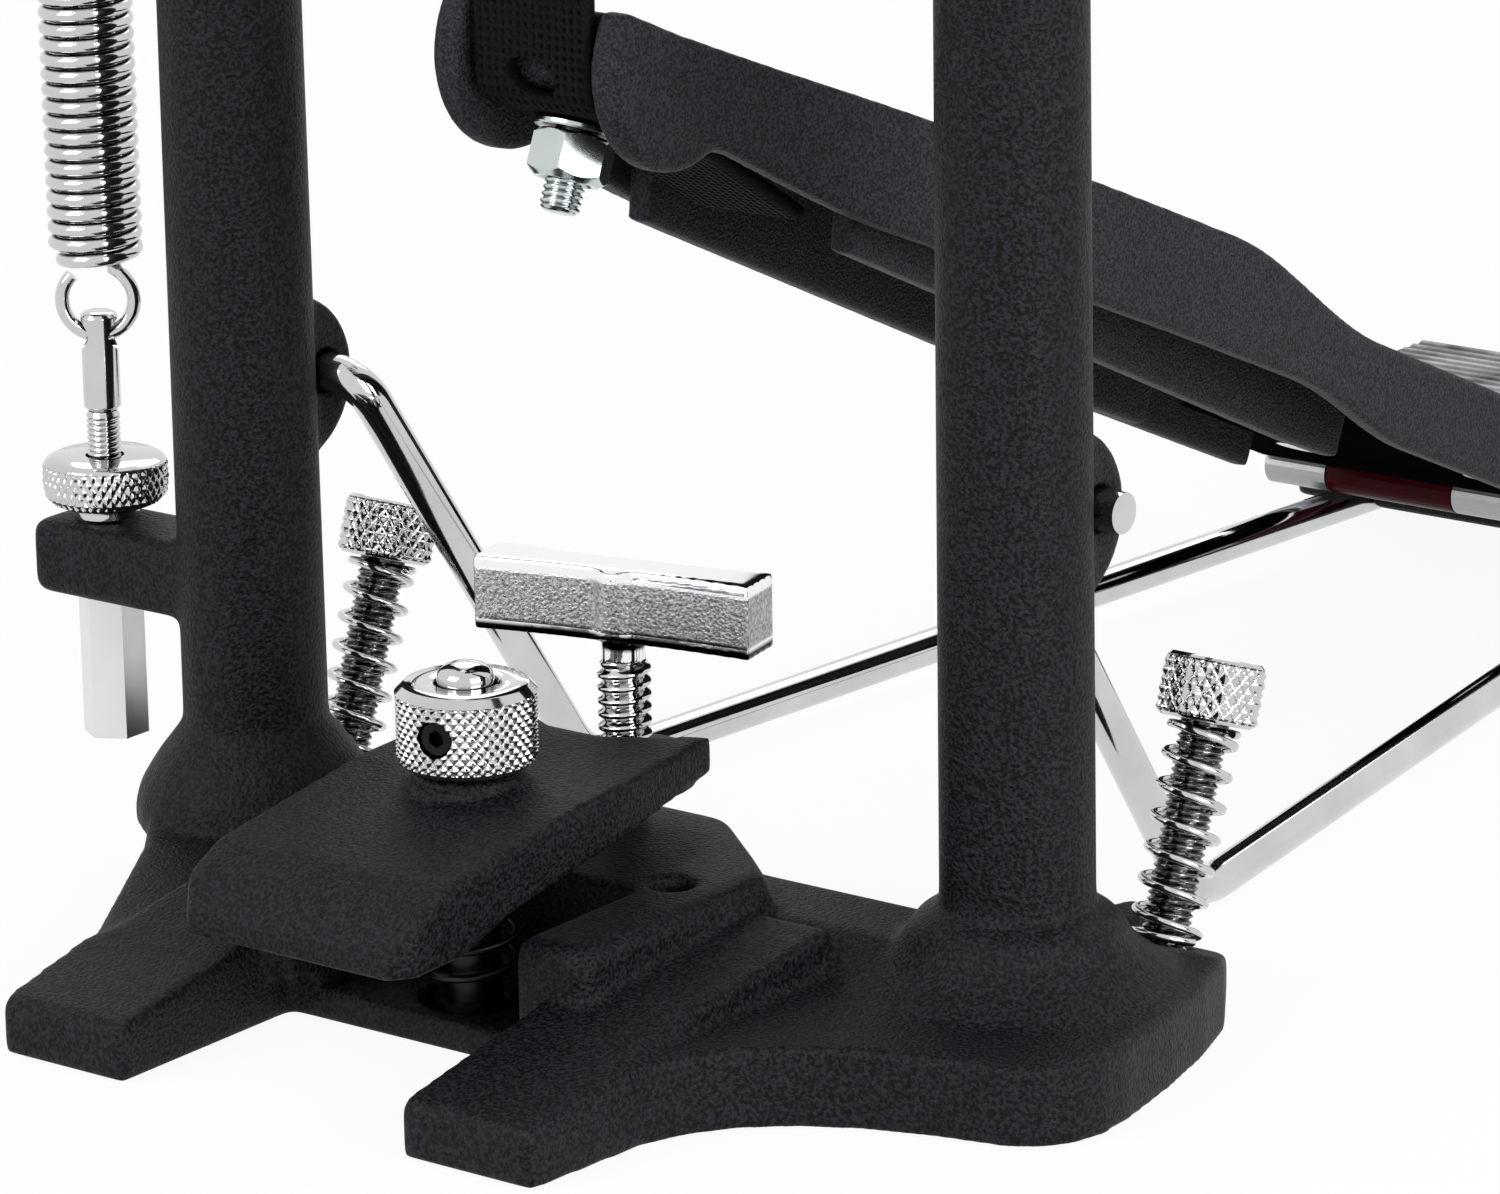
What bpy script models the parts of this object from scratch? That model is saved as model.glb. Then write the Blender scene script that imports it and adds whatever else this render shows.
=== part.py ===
"""Bass drum pedal with a strap drive, in metres: +X to the player's left, +Y to the heel, +Z up.

The origin is on the floor, midway between the posts and straight below the axle.
Right and left are named as seen from the drum.
"""

import math

import bmesh
import bpy
from mathutils import Matrix, Vector

# General clearances
GAP = 0.0003
BOLT_CLEARANCE = 0.0006

# Pedestal casting
POST_OFFSET = 0.0570
POST_FOOT_RADIUS = 0.0090
POST_TOP_RADIUS = 0.0085
AXLE_HEIGHT = 0.1780
EYE_RADIUS = 0.0140
EYE_WIDTH = 0.0140
WING_THICKNESS = 0.0095
WING_REACH = 0.0800
WING_REAR = 0.0300
FOOT_FRONT = -0.0660
FOOT_REAR = -0.0104
FOOT_INNER = 0.0205
FOOT_WIDTH = 0.0185
FOOT_TIP_HEIGHT = 0.0068
FOOT_LEDGE_HEIGHT = 0.0120
LEDGE_FRONT = -0.0365
LEDGE_THICKNESS = 0.0040
PLATFORM_HEIGHT = 0.0175
PLATFORM_HALF_WIDTH = 0.0270
PLATFORM_FRONT = -0.0410
PLATFORM_REAR = 0.0090
JAW_HALF_WIDTH = 0.0167
JAW_DEPTH = 0.0170
RIDGE_HEIGHT = 0.0133
RIGHT_FLARE_RADIUS = WING_REACH - POST_OFFSET - 0.0030
LEFT_FLARE_RADIUS = 0.0152
LEFT_SHOULDER_TOP = 0.0205
LEFT_SHOULDER = (
    (0.0, 0.0),
    (0.0015, 0.0020),
    (0.0031, 0.0040),
    (0.0044, 0.0060),
    (0.0056, 0.0080),
    (0.0074, 0.0100),
    (0.0100, 0.0116),
)
RIGHT_SHOULDER_TOP = 0.0183
RIGHT_SHOULDER = (
    (0.0, 0.0),
    (0.0014, 0.0006),
    (0.0026, 0.0014),
    (0.0034, 0.0025),
    (0.0042, 0.0040),
    (0.0060, 0.0060),
    (0.0086, 0.0078),
    (0.0120, 0.0092),
)

# Lugs that hold the side rods
LUG_RADIUS = 0.0104
LUG_WIDTH = 0.0100
LUG_Y = 0.0046
LUG_Z = 0.0625

# Side rods
ROD_RADIUS = 0.0024
ROD_EYE_Y = 0.0098
ROD_EYE_Z = 0.0628
ROD_STUB = 0.0030
ROD_FLOOR_X = 0.0465
ROD_FLOOR_Y = 0.0515
ROD_HEEL_X = 0.0270
ROD_HEEL_Z = 0.0062
ROD_EYE_BEND = 0.0045
ROD_FLOOR_BEND = 0.0120

# Return spring and its tension rod
SPRING_OFFSET = -0.0803
BRACKET_TOP = 0.0425
BRACKET_DEPTH = 0.0095
BRACKET_HALF_WIDTH = 0.0065
SPRING_WIRE = 0.00145
SPRING_RADIUS = 0.0051
SPRING_BOTTOM = 0.0760
ROCKER_ARM = 0.0220
ROCKER_PIN_RADIUS = 0.0022
STIRRUP_LENGTH = 0.0211
SPRING_LENGTH = AXLE_HEIGHT - ROCKER_ARM - STIRRUP_LENGTH - SPRING_BOTTOM
SPRING_TURNS = round(SPRING_LENGTH / (SPRING_WIRE * 1.31))
SPRING_PITCH = SPRING_LENGTH / SPRING_TURNS
HOOK_RADIUS = 0.0044
HOOK_LEAD = math.radians(28)
HOOK_SPIRAL = 0.0022
HOOK_REACH = HOOK_SPIRAL + HOOK_RADIUS * (1 + math.cos(HOOK_LEAD))
EYE_BOLT_RADIUS = 0.0021
EYE_HEAD_RADIUS = 0.0023
EYE_HEIGHT = SPRING_BOTTOM - HOOK_REACH
TENSION_NUT_RADIUS = 0.0078
TENSION_NUT_HEIGHT = 0.0075
HEX_NUT_RADIUS = 0.0041
HEX_NUT_LENGTH = 0.0180

# Hoop clamp
STUD_Y = -0.0280
STUD_RADIUS = 0.0033
COLLAR_RADIUS = 0.0082
COLLAR_BOTTOM = 0.0320
COLLAR_HEIGHT = 0.0097
CLAMP_FRONT = -0.0605
CLAMP_HALF_WIDTH = 0.0170
CLAMP_CREST_Y = -0.0021
CLAMP_TONGUE_RADIUS = 0.0085
CLAMP_TONGUE_TOP = 0.0258
CLAMP_SPRING_WIRE = 0.0010
CLAMP_SPRING_RADIUS = 0.0050
CLAMP_SPRING_TURNS = 5
STUD_SEAT_RADIUS = CLAMP_SPRING_RADIUS + CLAMP_SPRING_WIRE
STUD_SEAT_DEPTH = 0.0018
WING_SCREW_Y = 0.0010
WING_SCREW_RADIUS = 0.0029
WING_BOTTOM = 0.0398
WING_HEIGHT = 0.0090
WING_LENGTH = 0.0360
WING_NECK = 0.0028
WING_END = 0.0070
WING_WAIST = 0.0054
WING_TURN = math.radians(11.5)

# Spurs
SPUR_OFFSET = WING_REACH - 0.0180
SPUR_Y = 0.0225
SPUR_LEAN = math.radians(19.5)
SPUR_RADIUS = 0.0029
SPUR_SEAT = 0.0016
SPUR_PAD_INNER = 0.0056
SPUR_PAD_OUTER = 0.0250
SPUR_PAD_FRONT = 0.0075
SPUR_PAD_REAR = 0.0200
SPUR_PAD_ROOM = 0.0120
SPUR_SPRING_LENGTH = 0.0245
SPUR_SPRING_WIRE = 0.0011
SPUR_SPRING_RADIUS = 0.0039
SPUR_SPRING_TURNS = 8
SPUR_HEAD_RADIUS = 0.0060
SPUR_HEAD_HEIGHT = 0.0075

# Footboard, drawn in a side view: s along the board from the hinge, t square to it
HINGE_Y = 0.1960
HINGE_Z = 0.0120
BOARD_ANGLE = math.radians(23.6)
BOARD_HALF_WIDTH = 0.0310
TOE_HALF_WIDTH = 0.0135
STRAP_WIDTH = 0.0170
TOE_SLOT_HALF_WIDTH = 0.0095
BOARD_TOP = 0.0137
BOARD_STEP = 0.0055
BOARD_RIM_HEEL = -0.0034
BOARD_RIM_MIDDLE = -0.0001
BOARD_RIM_TOE = 0.0033
BOARD_WIDTHS = (
    (-0.003, 0.0135),
    (0.008, 0.0160),
    (0.018, 0.0200),
    (0.031, 0.0240),
    (0.044, 0.0264),
    (0.057, 0.0282),
    (0.072, 0.0299),
    (0.087, 0.0310),
)
BOARD_SKIN = 0.0040
BOARD_WALL = 0.0035
BOARD_HEEL_END = 0.0120
BOARD_WALL_END = 0.0200
TOE_NOSE_S = 0.2213
TOE_NOSE_T = 0.0106
TOE_NOSE_RADIUS = 0.0125
TOE_FRONT_Y = -0.0112
RIB_OFFSET = 0.0150
RIB_WIDTH = 0.0035
RIB_EDGE = ((0.070, -0.0053), (0.082, -0.0055), (0.120, -0.0047), (0.186, -0.0033))

# Strap
STRAP_THICKNESS = 0.0020
STRAP_NUT_RADIUS = 0.0050
STRAP_NUT_HEIGHT = 0.0055
STRAP_BOLT_RADIUS = 0.0024
STRAP_BOLT_S = 0.2203
STRAP_TOP_Z = 0.1190
STRAP_SLOT_Z = 0.1093
STRAP_SLOT_RADIUS = 0.0029
STRAP_TAIL_S = 0.1856
STRAP_WRAP = 150
STRAP_PIVOT = (0.0, -0.1289, 0.1582)
TOE_PAD_T = 0.0047
TOE_PAD_CORNER = 0.0020

# Axle, wheel, hub and beater
AXLE_RADIUS = 0.0037
AXLE_HEX_RADIUS = 0.0050
BEARING_RADIUS = 0.0095
BEARING_WIDTH = 0.0060
OUTER_RACE_INSIDE = 0.0068
INNER_RACE_OUTSIDE = 0.0062
WHEEL_RADIUS = 0.0250
WHEEL_FLANGE = 0.0040
WHEEL_FLANGE_WIDTH = 0.0025
WHEEL_HUB_RADIUS = 0.0100
WHEEL_WEB = 0.0080
HUB_WIDTH = 0.0140
HUB_RADIUS = 0.0095
BEATER_LEAN = math.radians(45)
BEATER_SET_BACK = 0.0105
BEATER_ROD_RADIUS = 0.0040
BEATER_ROD_LENGTH = 0.1900
BEATER_ROD_BELOW = 0.0160
BEATER_CORE_RADIUS = 0.0200
BEATER_CORE_DEPTH = 0.0220
BEATER_FELT_RADIUS = 0.0245
BEATER_FELT_DEPTH = 0.0170

# Heel plate and hinge
KNUCKLE_RADIUS = 0.0028
HINGE_PIN_RADIUS = 0.0012
HINGE_HALF_WIDTH = 0.0360
KNUCKLE_WIDTH = 0.0100
LEAF_THICKNESS = 0.0027
LEAF_HALF_WIDTH = 0.0200
LEAF_SLOT_DEPTH = 0.0235
LEAF_FRONT_S = 0.0420
LEAF_REAR_S = 0.0080
LEAF_SCREW_X = 0.0150
LEAF_SCREW_S = 0.0290
LEAF_SCREW_RADIUS = 0.0015
HEEL_FRONT = 0.2030
HEEL_LENGTH = 0.0820
HEEL_HALF_WIDTH = 0.0380
HEEL_BOTTOM = 0.0015
HEEL_TOP = 0.0210
HEEL_BACK_TOP = 0.0048
HEEL_CREST_Y = 0.2336
HEEL_NOSE_Z = 0.0057
HEEL_BED_FRONT = 0.2165
HEEL_SKIN = 0.0040
HEEL_BLOCK = 0.0290
TREAD_THICKNESS = 0.0014
TREAD_LENGTH = 0.0220

# Colour, roughness and metallic value of each finish
FINISHES = {
    "powder": ((0.022, 0.022, 0.025), 0.62, 0.0),
    "chrome": ((0.78, 0.79, 0.80), 0.12, 1.0),
    "zinc": ((0.66, 0.69, 0.70), 0.22, 1.0),
    "red": ((0.36, 0.012, 0.030), 0.30, 0.0),
    "rubber": ((0.012, 0.012, 0.012), 0.85, 0.0),
    "nylon": ((0.016, 0.015, 0.017), 0.75, 0.0),
    "plastic": ((0.020, 0.020, 0.022), 0.40, 0.0),
    "felt": ((0.72, 0.69, 0.62), 0.95, 0.0),
    "aluminium": ((0.60, 0.61, 0.63), 0.35, 1.0),
}

PARTS = "bass_drum_pedal"


def clear_scene():
    """Start from an empty scene with one collection for the pedal."""
    for old in list(bpy.data.objects):
        bpy.data.objects.remove(old, do_unlink=True)
    parts = bpy.data.collections.new(PARTS)
    bpy.context.scene.collection.children.link(parts)


def link(name, data):
    thing = bpy.data.objects.new(name, data)
    bpy.data.collections[PARTS].objects.link(thing)
    return thing


def evaluated_mesh(thing):
    """The object's mesh with its modifiers done and doubled points welded."""
    bpy.context.view_layer.update()
    graph = bpy.context.evaluated_depsgraph_get()
    mesh = bpy.data.meshes.new_from_object(thing.evaluated_get(graph))
    mesh.transform(thing.matrix_world)
    shape = bmesh.new()
    shape.from_mesh(mesh)
    bmesh.ops.remove_doubles(shape, verts=shape.verts, dist=1e-6)
    bmesh.ops.recalc_face_normals(shape, faces=shape.faces)
    shape.to_mesh(mesh)
    shape.free()
    return mesh


def baked(thing):
    """Replace an object by a plain mesh object of the same name, in world space."""
    mesh = evaluated_mesh(thing)
    name = thing.name
    bpy.data.objects.remove(thing, do_unlink=True)
    return link(name, mesh)


def box(name, low, high):
    shape = bmesh.new()
    bmesh.ops.create_cube(shape, size=1.0)
    for vert in shape.verts:
        vert.co = Vector([low[i] + (high[i] - low[i]) * (vert.co[i] + 0.5) for i in range(3)])
    mesh = bpy.data.meshes.new(name)
    shape.to_mesh(mesh)
    shape.free()
    return link(name, mesh)


AXIS_TURNS = {
    "x": Matrix.Rotation(math.pi / 2, 4, "Y"),
    "y": Matrix.Rotation(-math.pi / 2, 4, "X"),
    "z": Matrix.Identity(4),
}


def rod(name, radius, start, length, axis="z", sides=24, end_radius=None):
    """A cylinder or cone that runs from start along an axis."""
    shape = bmesh.new()
    last = radius if end_radius is None else end_radius
    bmesh.ops.create_cone(
        shape, cap_ends=True, segments=sides, radius1=radius, radius2=last, depth=length
    )
    lift = Matrix.Translation((0, 0, length / 2))
    bmesh.ops.transform(shape, matrix=lift, verts=shape.verts)
    mesh = bpy.data.meshes.new(name)
    shape.to_mesh(mesh)
    shape.free()
    mesh.transform(Matrix.Translation(start) @ AXIS_TURNS[axis])
    return link(name, mesh)


def turned(name, profile, start=(0, 0, 0), axis="z", steps=24):
    """A turned piece: (radius, height) points, from the top down the outer side."""
    mesh = bpy.data.meshes.new(name)
    mesh.from_pydata(
        [(radius, 0, height) for radius, height in profile],
        [(i, i + 1) for i in range(len(profile) - 1)],
        [],
    )
    thing = link(name, mesh)
    screw = thing.modifiers.new("turn", "SCREW")
    screw.steps = steps
    screw.render_steps = steps
    screw.use_merge_vertices = True
    screw.merge_threshold = 1e-6
    thing = baked(thing)
    thing.data.transform(Matrix.Translation(start) @ AXIS_TURNS[axis])
    return thing


def ring(name, outer, inner, start, length, axis="x", steps=32):
    """A turned ring with a square section."""
    profile = [(inner, length), (outer, length), (outer, 0), (inner, 0), (inner, length)]
    return turned(name, profile, start, axis, steps)


PLANES = {
    "xy": Matrix.Identity(4),
    "yz": Matrix(((0, 0, 1, 0), (1, 0, 0, 0), (0, 1, 0, 0), (0, 0, 0, 1))),
}


def plate(name, outline, low, high, plane="xy"):
    """A flat outline made thick: in plan between two heights, or in side view between two x."""
    curve = bpy.data.curves.new(name, "CURVE")
    curve.dimensions = "2D"
    curve.fill_mode = "BOTH"
    curve.extrude = (high - low) / 2
    spline = curve.splines.new("POLY")
    spline.points.add(len(outline) - 1)
    for point, (u, v) in zip(spline.points, outline):
        point.co = (u, v, 0, 1)
    spline.use_cyclic_u = True
    thing = link(name, curve)
    thing.matrix_world = PLANES[plane] @ Matrix.Translation((0, 0, (low + high) / 2))
    return baked(thing)


def tube(name, points, radius, resolution=2):
    curve = bpy.data.curves.new(name, "CURVE")
    curve.dimensions = "3D"
    curve.bevel_depth = radius
    curve.bevel_resolution = resolution
    curve.use_fill_caps = True
    spline = curve.splines.new("POLY")
    spline.points.add(len(points) - 1)
    for point, place in zip(spline.points, points):
        point.co = (*place, 1)
    return baked(link(name, curve))


def combine(target, others, operation):
    """Boolean the others into the target one by one and keep a plain mesh."""
    for other in others:
        step = target.modifiers.new(operation.lower(), "BOOLEAN")
        step.operation = operation
        step.solver = "EXACT"
        step.object = other
        target = baked(target)
        bpy.data.objects.remove(other, do_unlink=True)
    return target


def join(target, *others):
    return combine(target, others, "UNION")


def cut(target, *others):
    return combine(target, others, "DIFFERENCE")


def common(target, other):
    return combine(target, [other], "INTERSECT")


def rounded(thing, width, segments=2):
    """Bevel the sharp edges of a plain piece."""
    bevel = thing.modifiers.new("round", "BEVEL")
    bevel.width = width
    bevel.segments = segments
    bevel.limit_method = "ANGLE"
    bevel.angle_limit = math.radians(40)
    return baked(thing)


def finish(thing, name):
    """Give a piece its own material and smooth its round faces."""
    colour, roughness, metallic = FINISHES[name]
    material = bpy.data.materials.new(thing.name + "_" + name)
    material.use_nodes = True
    shader = material.node_tree.nodes["Principled BSDF"]
    shader.inputs["Base Color"].default_value = (*colour, 1)
    shader.inputs["Roughness"].default_value = roughness
    shader.inputs["Metallic"].default_value = metallic
    thing.data.materials.clear()
    thing.data.materials.append(material)
    thing.data.shade_smooth()
    thing.data.set_sharp_from_angle(angle=math.radians(35))
    return thing


def pivot(name, place):
    empty = bpy.data.objects.new(name, None)
    empty.location = place
    bpy.data.collections[PARTS].objects.link(empty)
    bpy.context.view_layer.update()
    return empty


def carry(empty, *things):
    """Parent pieces to the empty on their joint's axis without moving them."""
    for thing in things:
        thing.parent = empty
        thing.matrix_parent_inverse = empty.matrix_world.inverted()


def arc(centre, radius, start, stop, count):
    """Points on an arc, angles in degrees."""
    angles = [math.radians(start + (stop - start) * i / count) for i in range(count + 1)]
    return [(centre[0] + radius * math.cos(a), centre[1] + radius * math.sin(a)) for a in angles]


def bend(first, handle, last, count):
    """Points on a smooth bend pulled towards a handle, without its first point."""
    points = []
    for i in range(1, count + 1):
        f = i / count
        points.append(
            tuple((1 - f) ** 2 * a + 2 * f * (1 - f) * b + f * f * c for a, b, c in zip(first, handle, last))
        )
    return points


def through(places, at):
    """Height at a distance along a line drawn through places."""
    if at <= places[0][0]:
        return places[0][1]
    for (x0, y0), (x1, y1) in zip(places, places[1:]):
        if at <= x1:
            return y0 + (y1 - y0) * (at - x0) / (x1 - x0)
    return places[-1][1]


def mirrored(half):
    """Close a half outline, given with x over 0, across the centre line."""
    return half + [(-x, y) for x, y in reversed(half) if x > 1e-6]


def rounded_path(points, radii, steps=6):
    """A route through points with each corner bent to its radius."""
    places = [Vector(point) for point in points]
    route = [places[0]]
    for before, corner, after, radius in zip(places, places[1:], places[2:], radii):
        back = (before - corner).normalized()
        ahead = (after - corner).normalized()
        half = back.angle(ahead) / 2
        reach = radius / math.tan(half)
        centre = corner + (back + ahead).normalized() * (radius / math.sin(half))
        start = corner + back * reach - centre
        stop = corner + ahead * reach - centre
        route += [centre + start.slerp(stop, i / steps).normalized() * radius for i in range(steps + 1)]
    route.append(places[-1])
    return route


def least_self_gap(points, wire, apart):
    """The least gap between stretches of one tube that lie further apart along it than a bend."""
    least = math.inf
    for i, first in enumerate(points):
        for second in points[i + apart:]:
            least = min(least, (first - second).length)
    return least - wire


def helix(radius, pitch, turns, bottom, per_turn=8, start=0.0, hand=1):
    """Points of a coil about +Z that climbs from a height, right-handed or, with hand -1, left-handed."""
    points = []
    for i in range(turns * per_turn + 1):
        angle = start + hand * 2 * math.pi * i / per_turn
        height = bottom + pitch * i / per_turn
        points.append(Vector((radius * math.cos(angle), radius * math.sin(angle), height)))
    return points


def coil(name, points, wire, per_turn=8):
    """A spring as one tube, with the least gap to itself printed."""
    gap = least_self_gap(points, wire, per_turn // 2 + 1)
    print(f"{name}: least gap to itself {gap * 1000:.2f} mm")
    return tube(name, points, wire / 2, resolution=1)


def right_edge(start):
    """Outer edge of the right wing, which spreads out beside its post."""
    foot_outer = start[0]
    tip = (WING_REACH - 0.0065, -0.0260)
    edge = bend(start, (foot_outer + 0.0040, -0.0310), tip, 6)
    edge += bend(tip, (WING_REACH + 0.0015, -0.0225), (WING_REACH, -0.0120), 4)
    edge += bend(edge[-1], (WING_REACH - 0.0030, 0.0080), (WING_REACH - 0.0075, 0.0190), 3)
    return edge + [(WING_REACH - 0.0145, WING_REAR)]


def left_edge(start):
    """Outer edge of the left wing, which keeps close to its post; x is given with its sign turned."""
    close = POST_OFFSET + LEFT_FLARE_RADIUS - 0.0010
    edge = bend(start, (start[0] + 0.0075, -0.0360), (POST_OFFSET + 0.0008, -0.0205), 5)
    edge += bend(edge[-1], (POST_OFFSET + 0.0080, -0.0120), (close, 0.0), 4)
    edge += bend(edge[-1], (close + 0.0030, 0.0100), (close + 0.0030, 0.0200), 3)
    return edge + [(close, WING_REAR)]


def base_outline():
    """Plan of the feet, the wings and the bridge between them."""
    start = (FOOT_INNER + FOOT_WIDTH + 0.0015, FOOT_FRONT + 0.0180)
    foot_outer = FOOT_INNER + FOOT_WIDTH
    inner_front = [(FOOT_INNER, LEDGE_FRONT), (FOOT_INNER, FOOT_FRONT), (foot_outer, FOOT_FRONT), start]
    inner_rear = [(POST_OFFSET - 0.0050, WING_REAR)]
    platform_corner = (PLATFORM_HALF_WIDTH, PLATFORM_REAR)
    inner_rear += bend(inner_rear[0], (POST_OFFSET - 0.0080, 0.0110), platform_corner, 4)
    right = inner_front + right_edge(start) + inner_rear
    left = inner_front + left_edge(start) + inner_rear
    return right + [(0.0, PLATFORM_REAR + 0.0030)] + [(-x, y) for x, y in reversed(left)]


def flare_profile(radius, top, shoulder):
    """Round shoulder from a post down into its wing, no wider than a radius."""
    low = WING_THICKNESS - 0.002
    profile = [(0.0, top)]
    for out, drop in shoulder:
        profile.append((min(POST_FOOT_RADIUS + out, radius), top - drop))
    return profile + [(radius, low), (0.0, low)]


def spur_frame(side):
    """Placement of a spur: its own +Z runs up its shaft from the top of the wing."""
    place = Matrix.Translation((side * SPUR_OFFSET, SPUR_Y, WING_THICKNESS))
    return place @ Matrix.Rotation(-SPUR_LEAN, 4, "X")


def foot_top(y):
    """Height of a foot, which rises from its tip to the ledge."""
    f = (y - FOOT_FRONT) / (LEDGE_FRONT - FOOT_FRONT)
    return FOOT_TIP_HEIGHT + f * (FOOT_LEDGE_HEIGHT - FOOT_TIP_HEIGHT)


def make_foot_tip(side):
    """Space over a foot's tip, where it is lower than the wings."""
    margin = 0.0100
    edge = 0.0010
    rear = FOOT_FRONT + 0.0180
    profile = [
        (FOOT_FRONT - margin, FOOT_TIP_HEIGHT - edge),
        (FOOT_FRONT, FOOT_TIP_HEIGHT - edge),
        (FOOT_FRONT + edge, foot_top(FOOT_FRONT + edge)),
        (rear, foot_top(rear)),
        (rear, WING_THICKNESS + margin),
        (FOOT_FRONT - margin, WING_THICKNESS + margin),
    ]
    inner = side * (FOOT_INNER - margin)
    outer = side * (FOOT_INNER + FOOT_WIDTH + margin)
    return plate("foot_tip", profile, min(inner, outer), max(inner, outer), "yz")


def make_foot(side):
    """A front foot's upper part, which rises into the platform."""
    low = WING_THICKNESS / 3
    front = FOOT_FRONT + 0.0168
    profile = [
        (front, low),
        (front, foot_top(front)),
        (LEDGE_FRONT, FOOT_LEDGE_HEIGHT),
        (FOOT_REAR, PLATFORM_HEIGHT - 0.0030),
        (FOOT_REAR, low),
    ]
    inset = 0.0002
    inner = side * (FOOT_INNER + inset)
    outer = side * (FOOT_INNER + FOOT_WIDTH - inset)
    return plate("foot", profile, min(inner, outer), max(inner, outer), "yz")


def make_frame():
    """The one-piece casting: wings, feet, platform, posts, eyes, lugs and spring bracket."""
    frame = plate("pedestal_frame", base_outline(), 0.0, WING_THICKNESS)
    frame = cut(frame, make_foot_tip(1), make_foot_tip(-1))
    half = PLATFORM_HALF_WIDTH
    low = WING_THICKNESS / 3
    rear = PLATFORM_REAR - 0.0005
    platform_half = [(half, PLATFORM_FRONT), (half, -0.0061), (half * 0.72, 0.0006), (half * 0.37, rear)]
    platform = rounded(plate("platform", mirrored(platform_half), low, PLATFORM_HEIGHT), 0.002)
    margin = 0.01
    under = box(
        "under",
        (-half - margin, PLATFORM_FRONT - margin, low - margin),
        (half + margin, rear + margin, low + 0.0025),
    )
    platform = cut(platform, under)
    ridge_profile = [
        (-0.0220, low),
        (-0.0130, RIDGE_HEIGHT - 0.0030),
        (-0.0070, RIDGE_HEIGHT),
        (0.0040, RIDGE_HEIGHT),
        (rear - 0.0005, RIDGE_HEIGHT - 0.0050),
        (rear - 0.0005, low),
    ]
    ridge = plate("ridge", ridge_profile, -POST_OFFSET, POST_OFFSET, "yz")
    frame = join(frame, make_foot(1), make_foot(-1), platform, ridge)
    right_flare = flare_profile(RIGHT_FLARE_RADIUS, RIGHT_SHOULDER_TOP, RIGHT_SHOULDER)
    left_flare = flare_profile(LEFT_FLARE_RADIUS, LEFT_SHOULDER_TOP, LEFT_SHOULDER)
    for side, profile in ((1, right_flare), (-1, left_flare)):
        x = side * POST_OFFSET
        flare = turned("flare", profile, (x, 0, 0))
        post_low = WING_THICKNESS / 2
        post = rod(
            "post", POST_FOOT_RADIUS, (x, 0, post_low), AXLE_HEIGHT - post_low, "z", 28, POST_TOP_RADIUS
        )
        eye = rod("eye", EYE_RADIUS, (x - EYE_WIDTH / 2, 0, AXLE_HEIGHT), EYE_WIDTH, "x", 32)
        lug = rod("lug", LUG_RADIUS, (x - LUG_WIDTH / 2, LUG_Y, LUG_Z), LUG_WIDTH, "x", 28)
        frame = join(frame, flare, post, rounded(eye, 0.001), rounded(lug, 0.0008))
    reach = SPRING_OFFSET - 0.0074
    arm = box(
        "arm",
        (reach, -BRACKET_HALF_WIDTH, BRACKET_TOP - BRACKET_DEPTH),
        (-POST_OFFSET, BRACKET_HALF_WIDTH, BRACKET_TOP),
    )
    frame = join(frame, rounded(arm, 0.0015))
    return cut_frame(frame)


def cut_frame(frame):
    """Cut the hoop jaw and every bore into the casting."""
    jaw_back = LEDGE_FRONT + JAW_DEPTH
    wide = JAW_HALF_WIDTH
    jaw = box("jaw", (-wide, LEDGE_FRONT - 0.03, LEDGE_THICKNESS), (wide, jaw_back, PLATFORM_HEIGHT * 2))
    mouth = box("mouth", (-wide, LEDGE_FRONT - 0.03, -0.01), (wide, LEDGE_FRONT, PLATFORM_HEIGHT * 2))
    stud_hole = rod("stud_hole", STUD_RADIUS + GAP, (0, STUD_Y, -0.01), 0.05)
    stud_seat = rod("stud_seat", STUD_SEAT_RADIUS, (0, STUD_Y, LEDGE_THICKNESS - STUD_SEAT_DEPTH), 0.05)
    oil_hole = rod("oil_hole", 0.0024, (0.0190, -0.0150, PLATFORM_HEIGHT - 0.006), 0.02)
    tension_hole = rod("tension_hole", EYE_BOLT_RADIUS + GAP, (SPRING_OFFSET, 0, 0.01), 0.06)
    frame = cut(frame, jaw, mouth, stud_hole, stud_seat, oil_hole, tension_hole)
    for side in (1, -1):
        x = side * POST_OFFSET
        bore = rod("bore", BEARING_RADIUS + GAP, (x - EYE_WIDTH, 0, AXLE_HEIGHT), 2 * EYE_WIDTH, "x", 32)
        rod_hole = rod(
            "rod_hole", ROD_RADIUS + GAP, (x - LUG_WIDTH, ROD_EYE_Y, ROD_EYE_Z), 2 * LUG_WIDTH, "x", 16
        )
        spur_hole = rod("spur_hole", SPUR_RADIUS + GAP, (0, 0, -0.02), 0.03)
        inner = -side * SPUR_PAD_INNER
        outer = side * SPUR_PAD_OUTER
        pad_low = (min(inner, outer), -SPUR_PAD_FRONT, -SPUR_SEAT)
        pad_high = (max(inner, outer), SPUR_PAD_REAR, SPUR_PAD_ROOM)
        spur_hole = join(spur_hole, box("pad", pad_low, pad_high))
        spur_hole.data.transform(spur_frame(side))
        frame = cut(frame, bore, rod_hole, spur_hole)
    return finish(frame, "powder")


def rod_route(side):
    """Corners of a side rod: out of its lug, down to the floor and back to the heel plate."""
    outside = POST_OFFSET + LUG_WIDTH / 2 + ROD_STUB
    inside = POST_OFFSET - LUG_WIDTH / 2 - GAP - ROD_EYE_BEND
    floor = Vector((side * ROD_FLOOR_X, ROD_FLOOR_Y, ROD_RADIUS + GAP))
    heel = Vector((side * ROD_HEEL_X, HEEL_FRONT, ROD_HEEL_Z))
    end = heel + (heel - floor).normalized() * (HEEL_BLOCK / 2)
    eye = [(side * outside, ROD_EYE_Y, ROD_EYE_Z), (side * inside, ROD_EYE_Y, ROD_EYE_Z)]
    return [*eye, floor, end]


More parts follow.
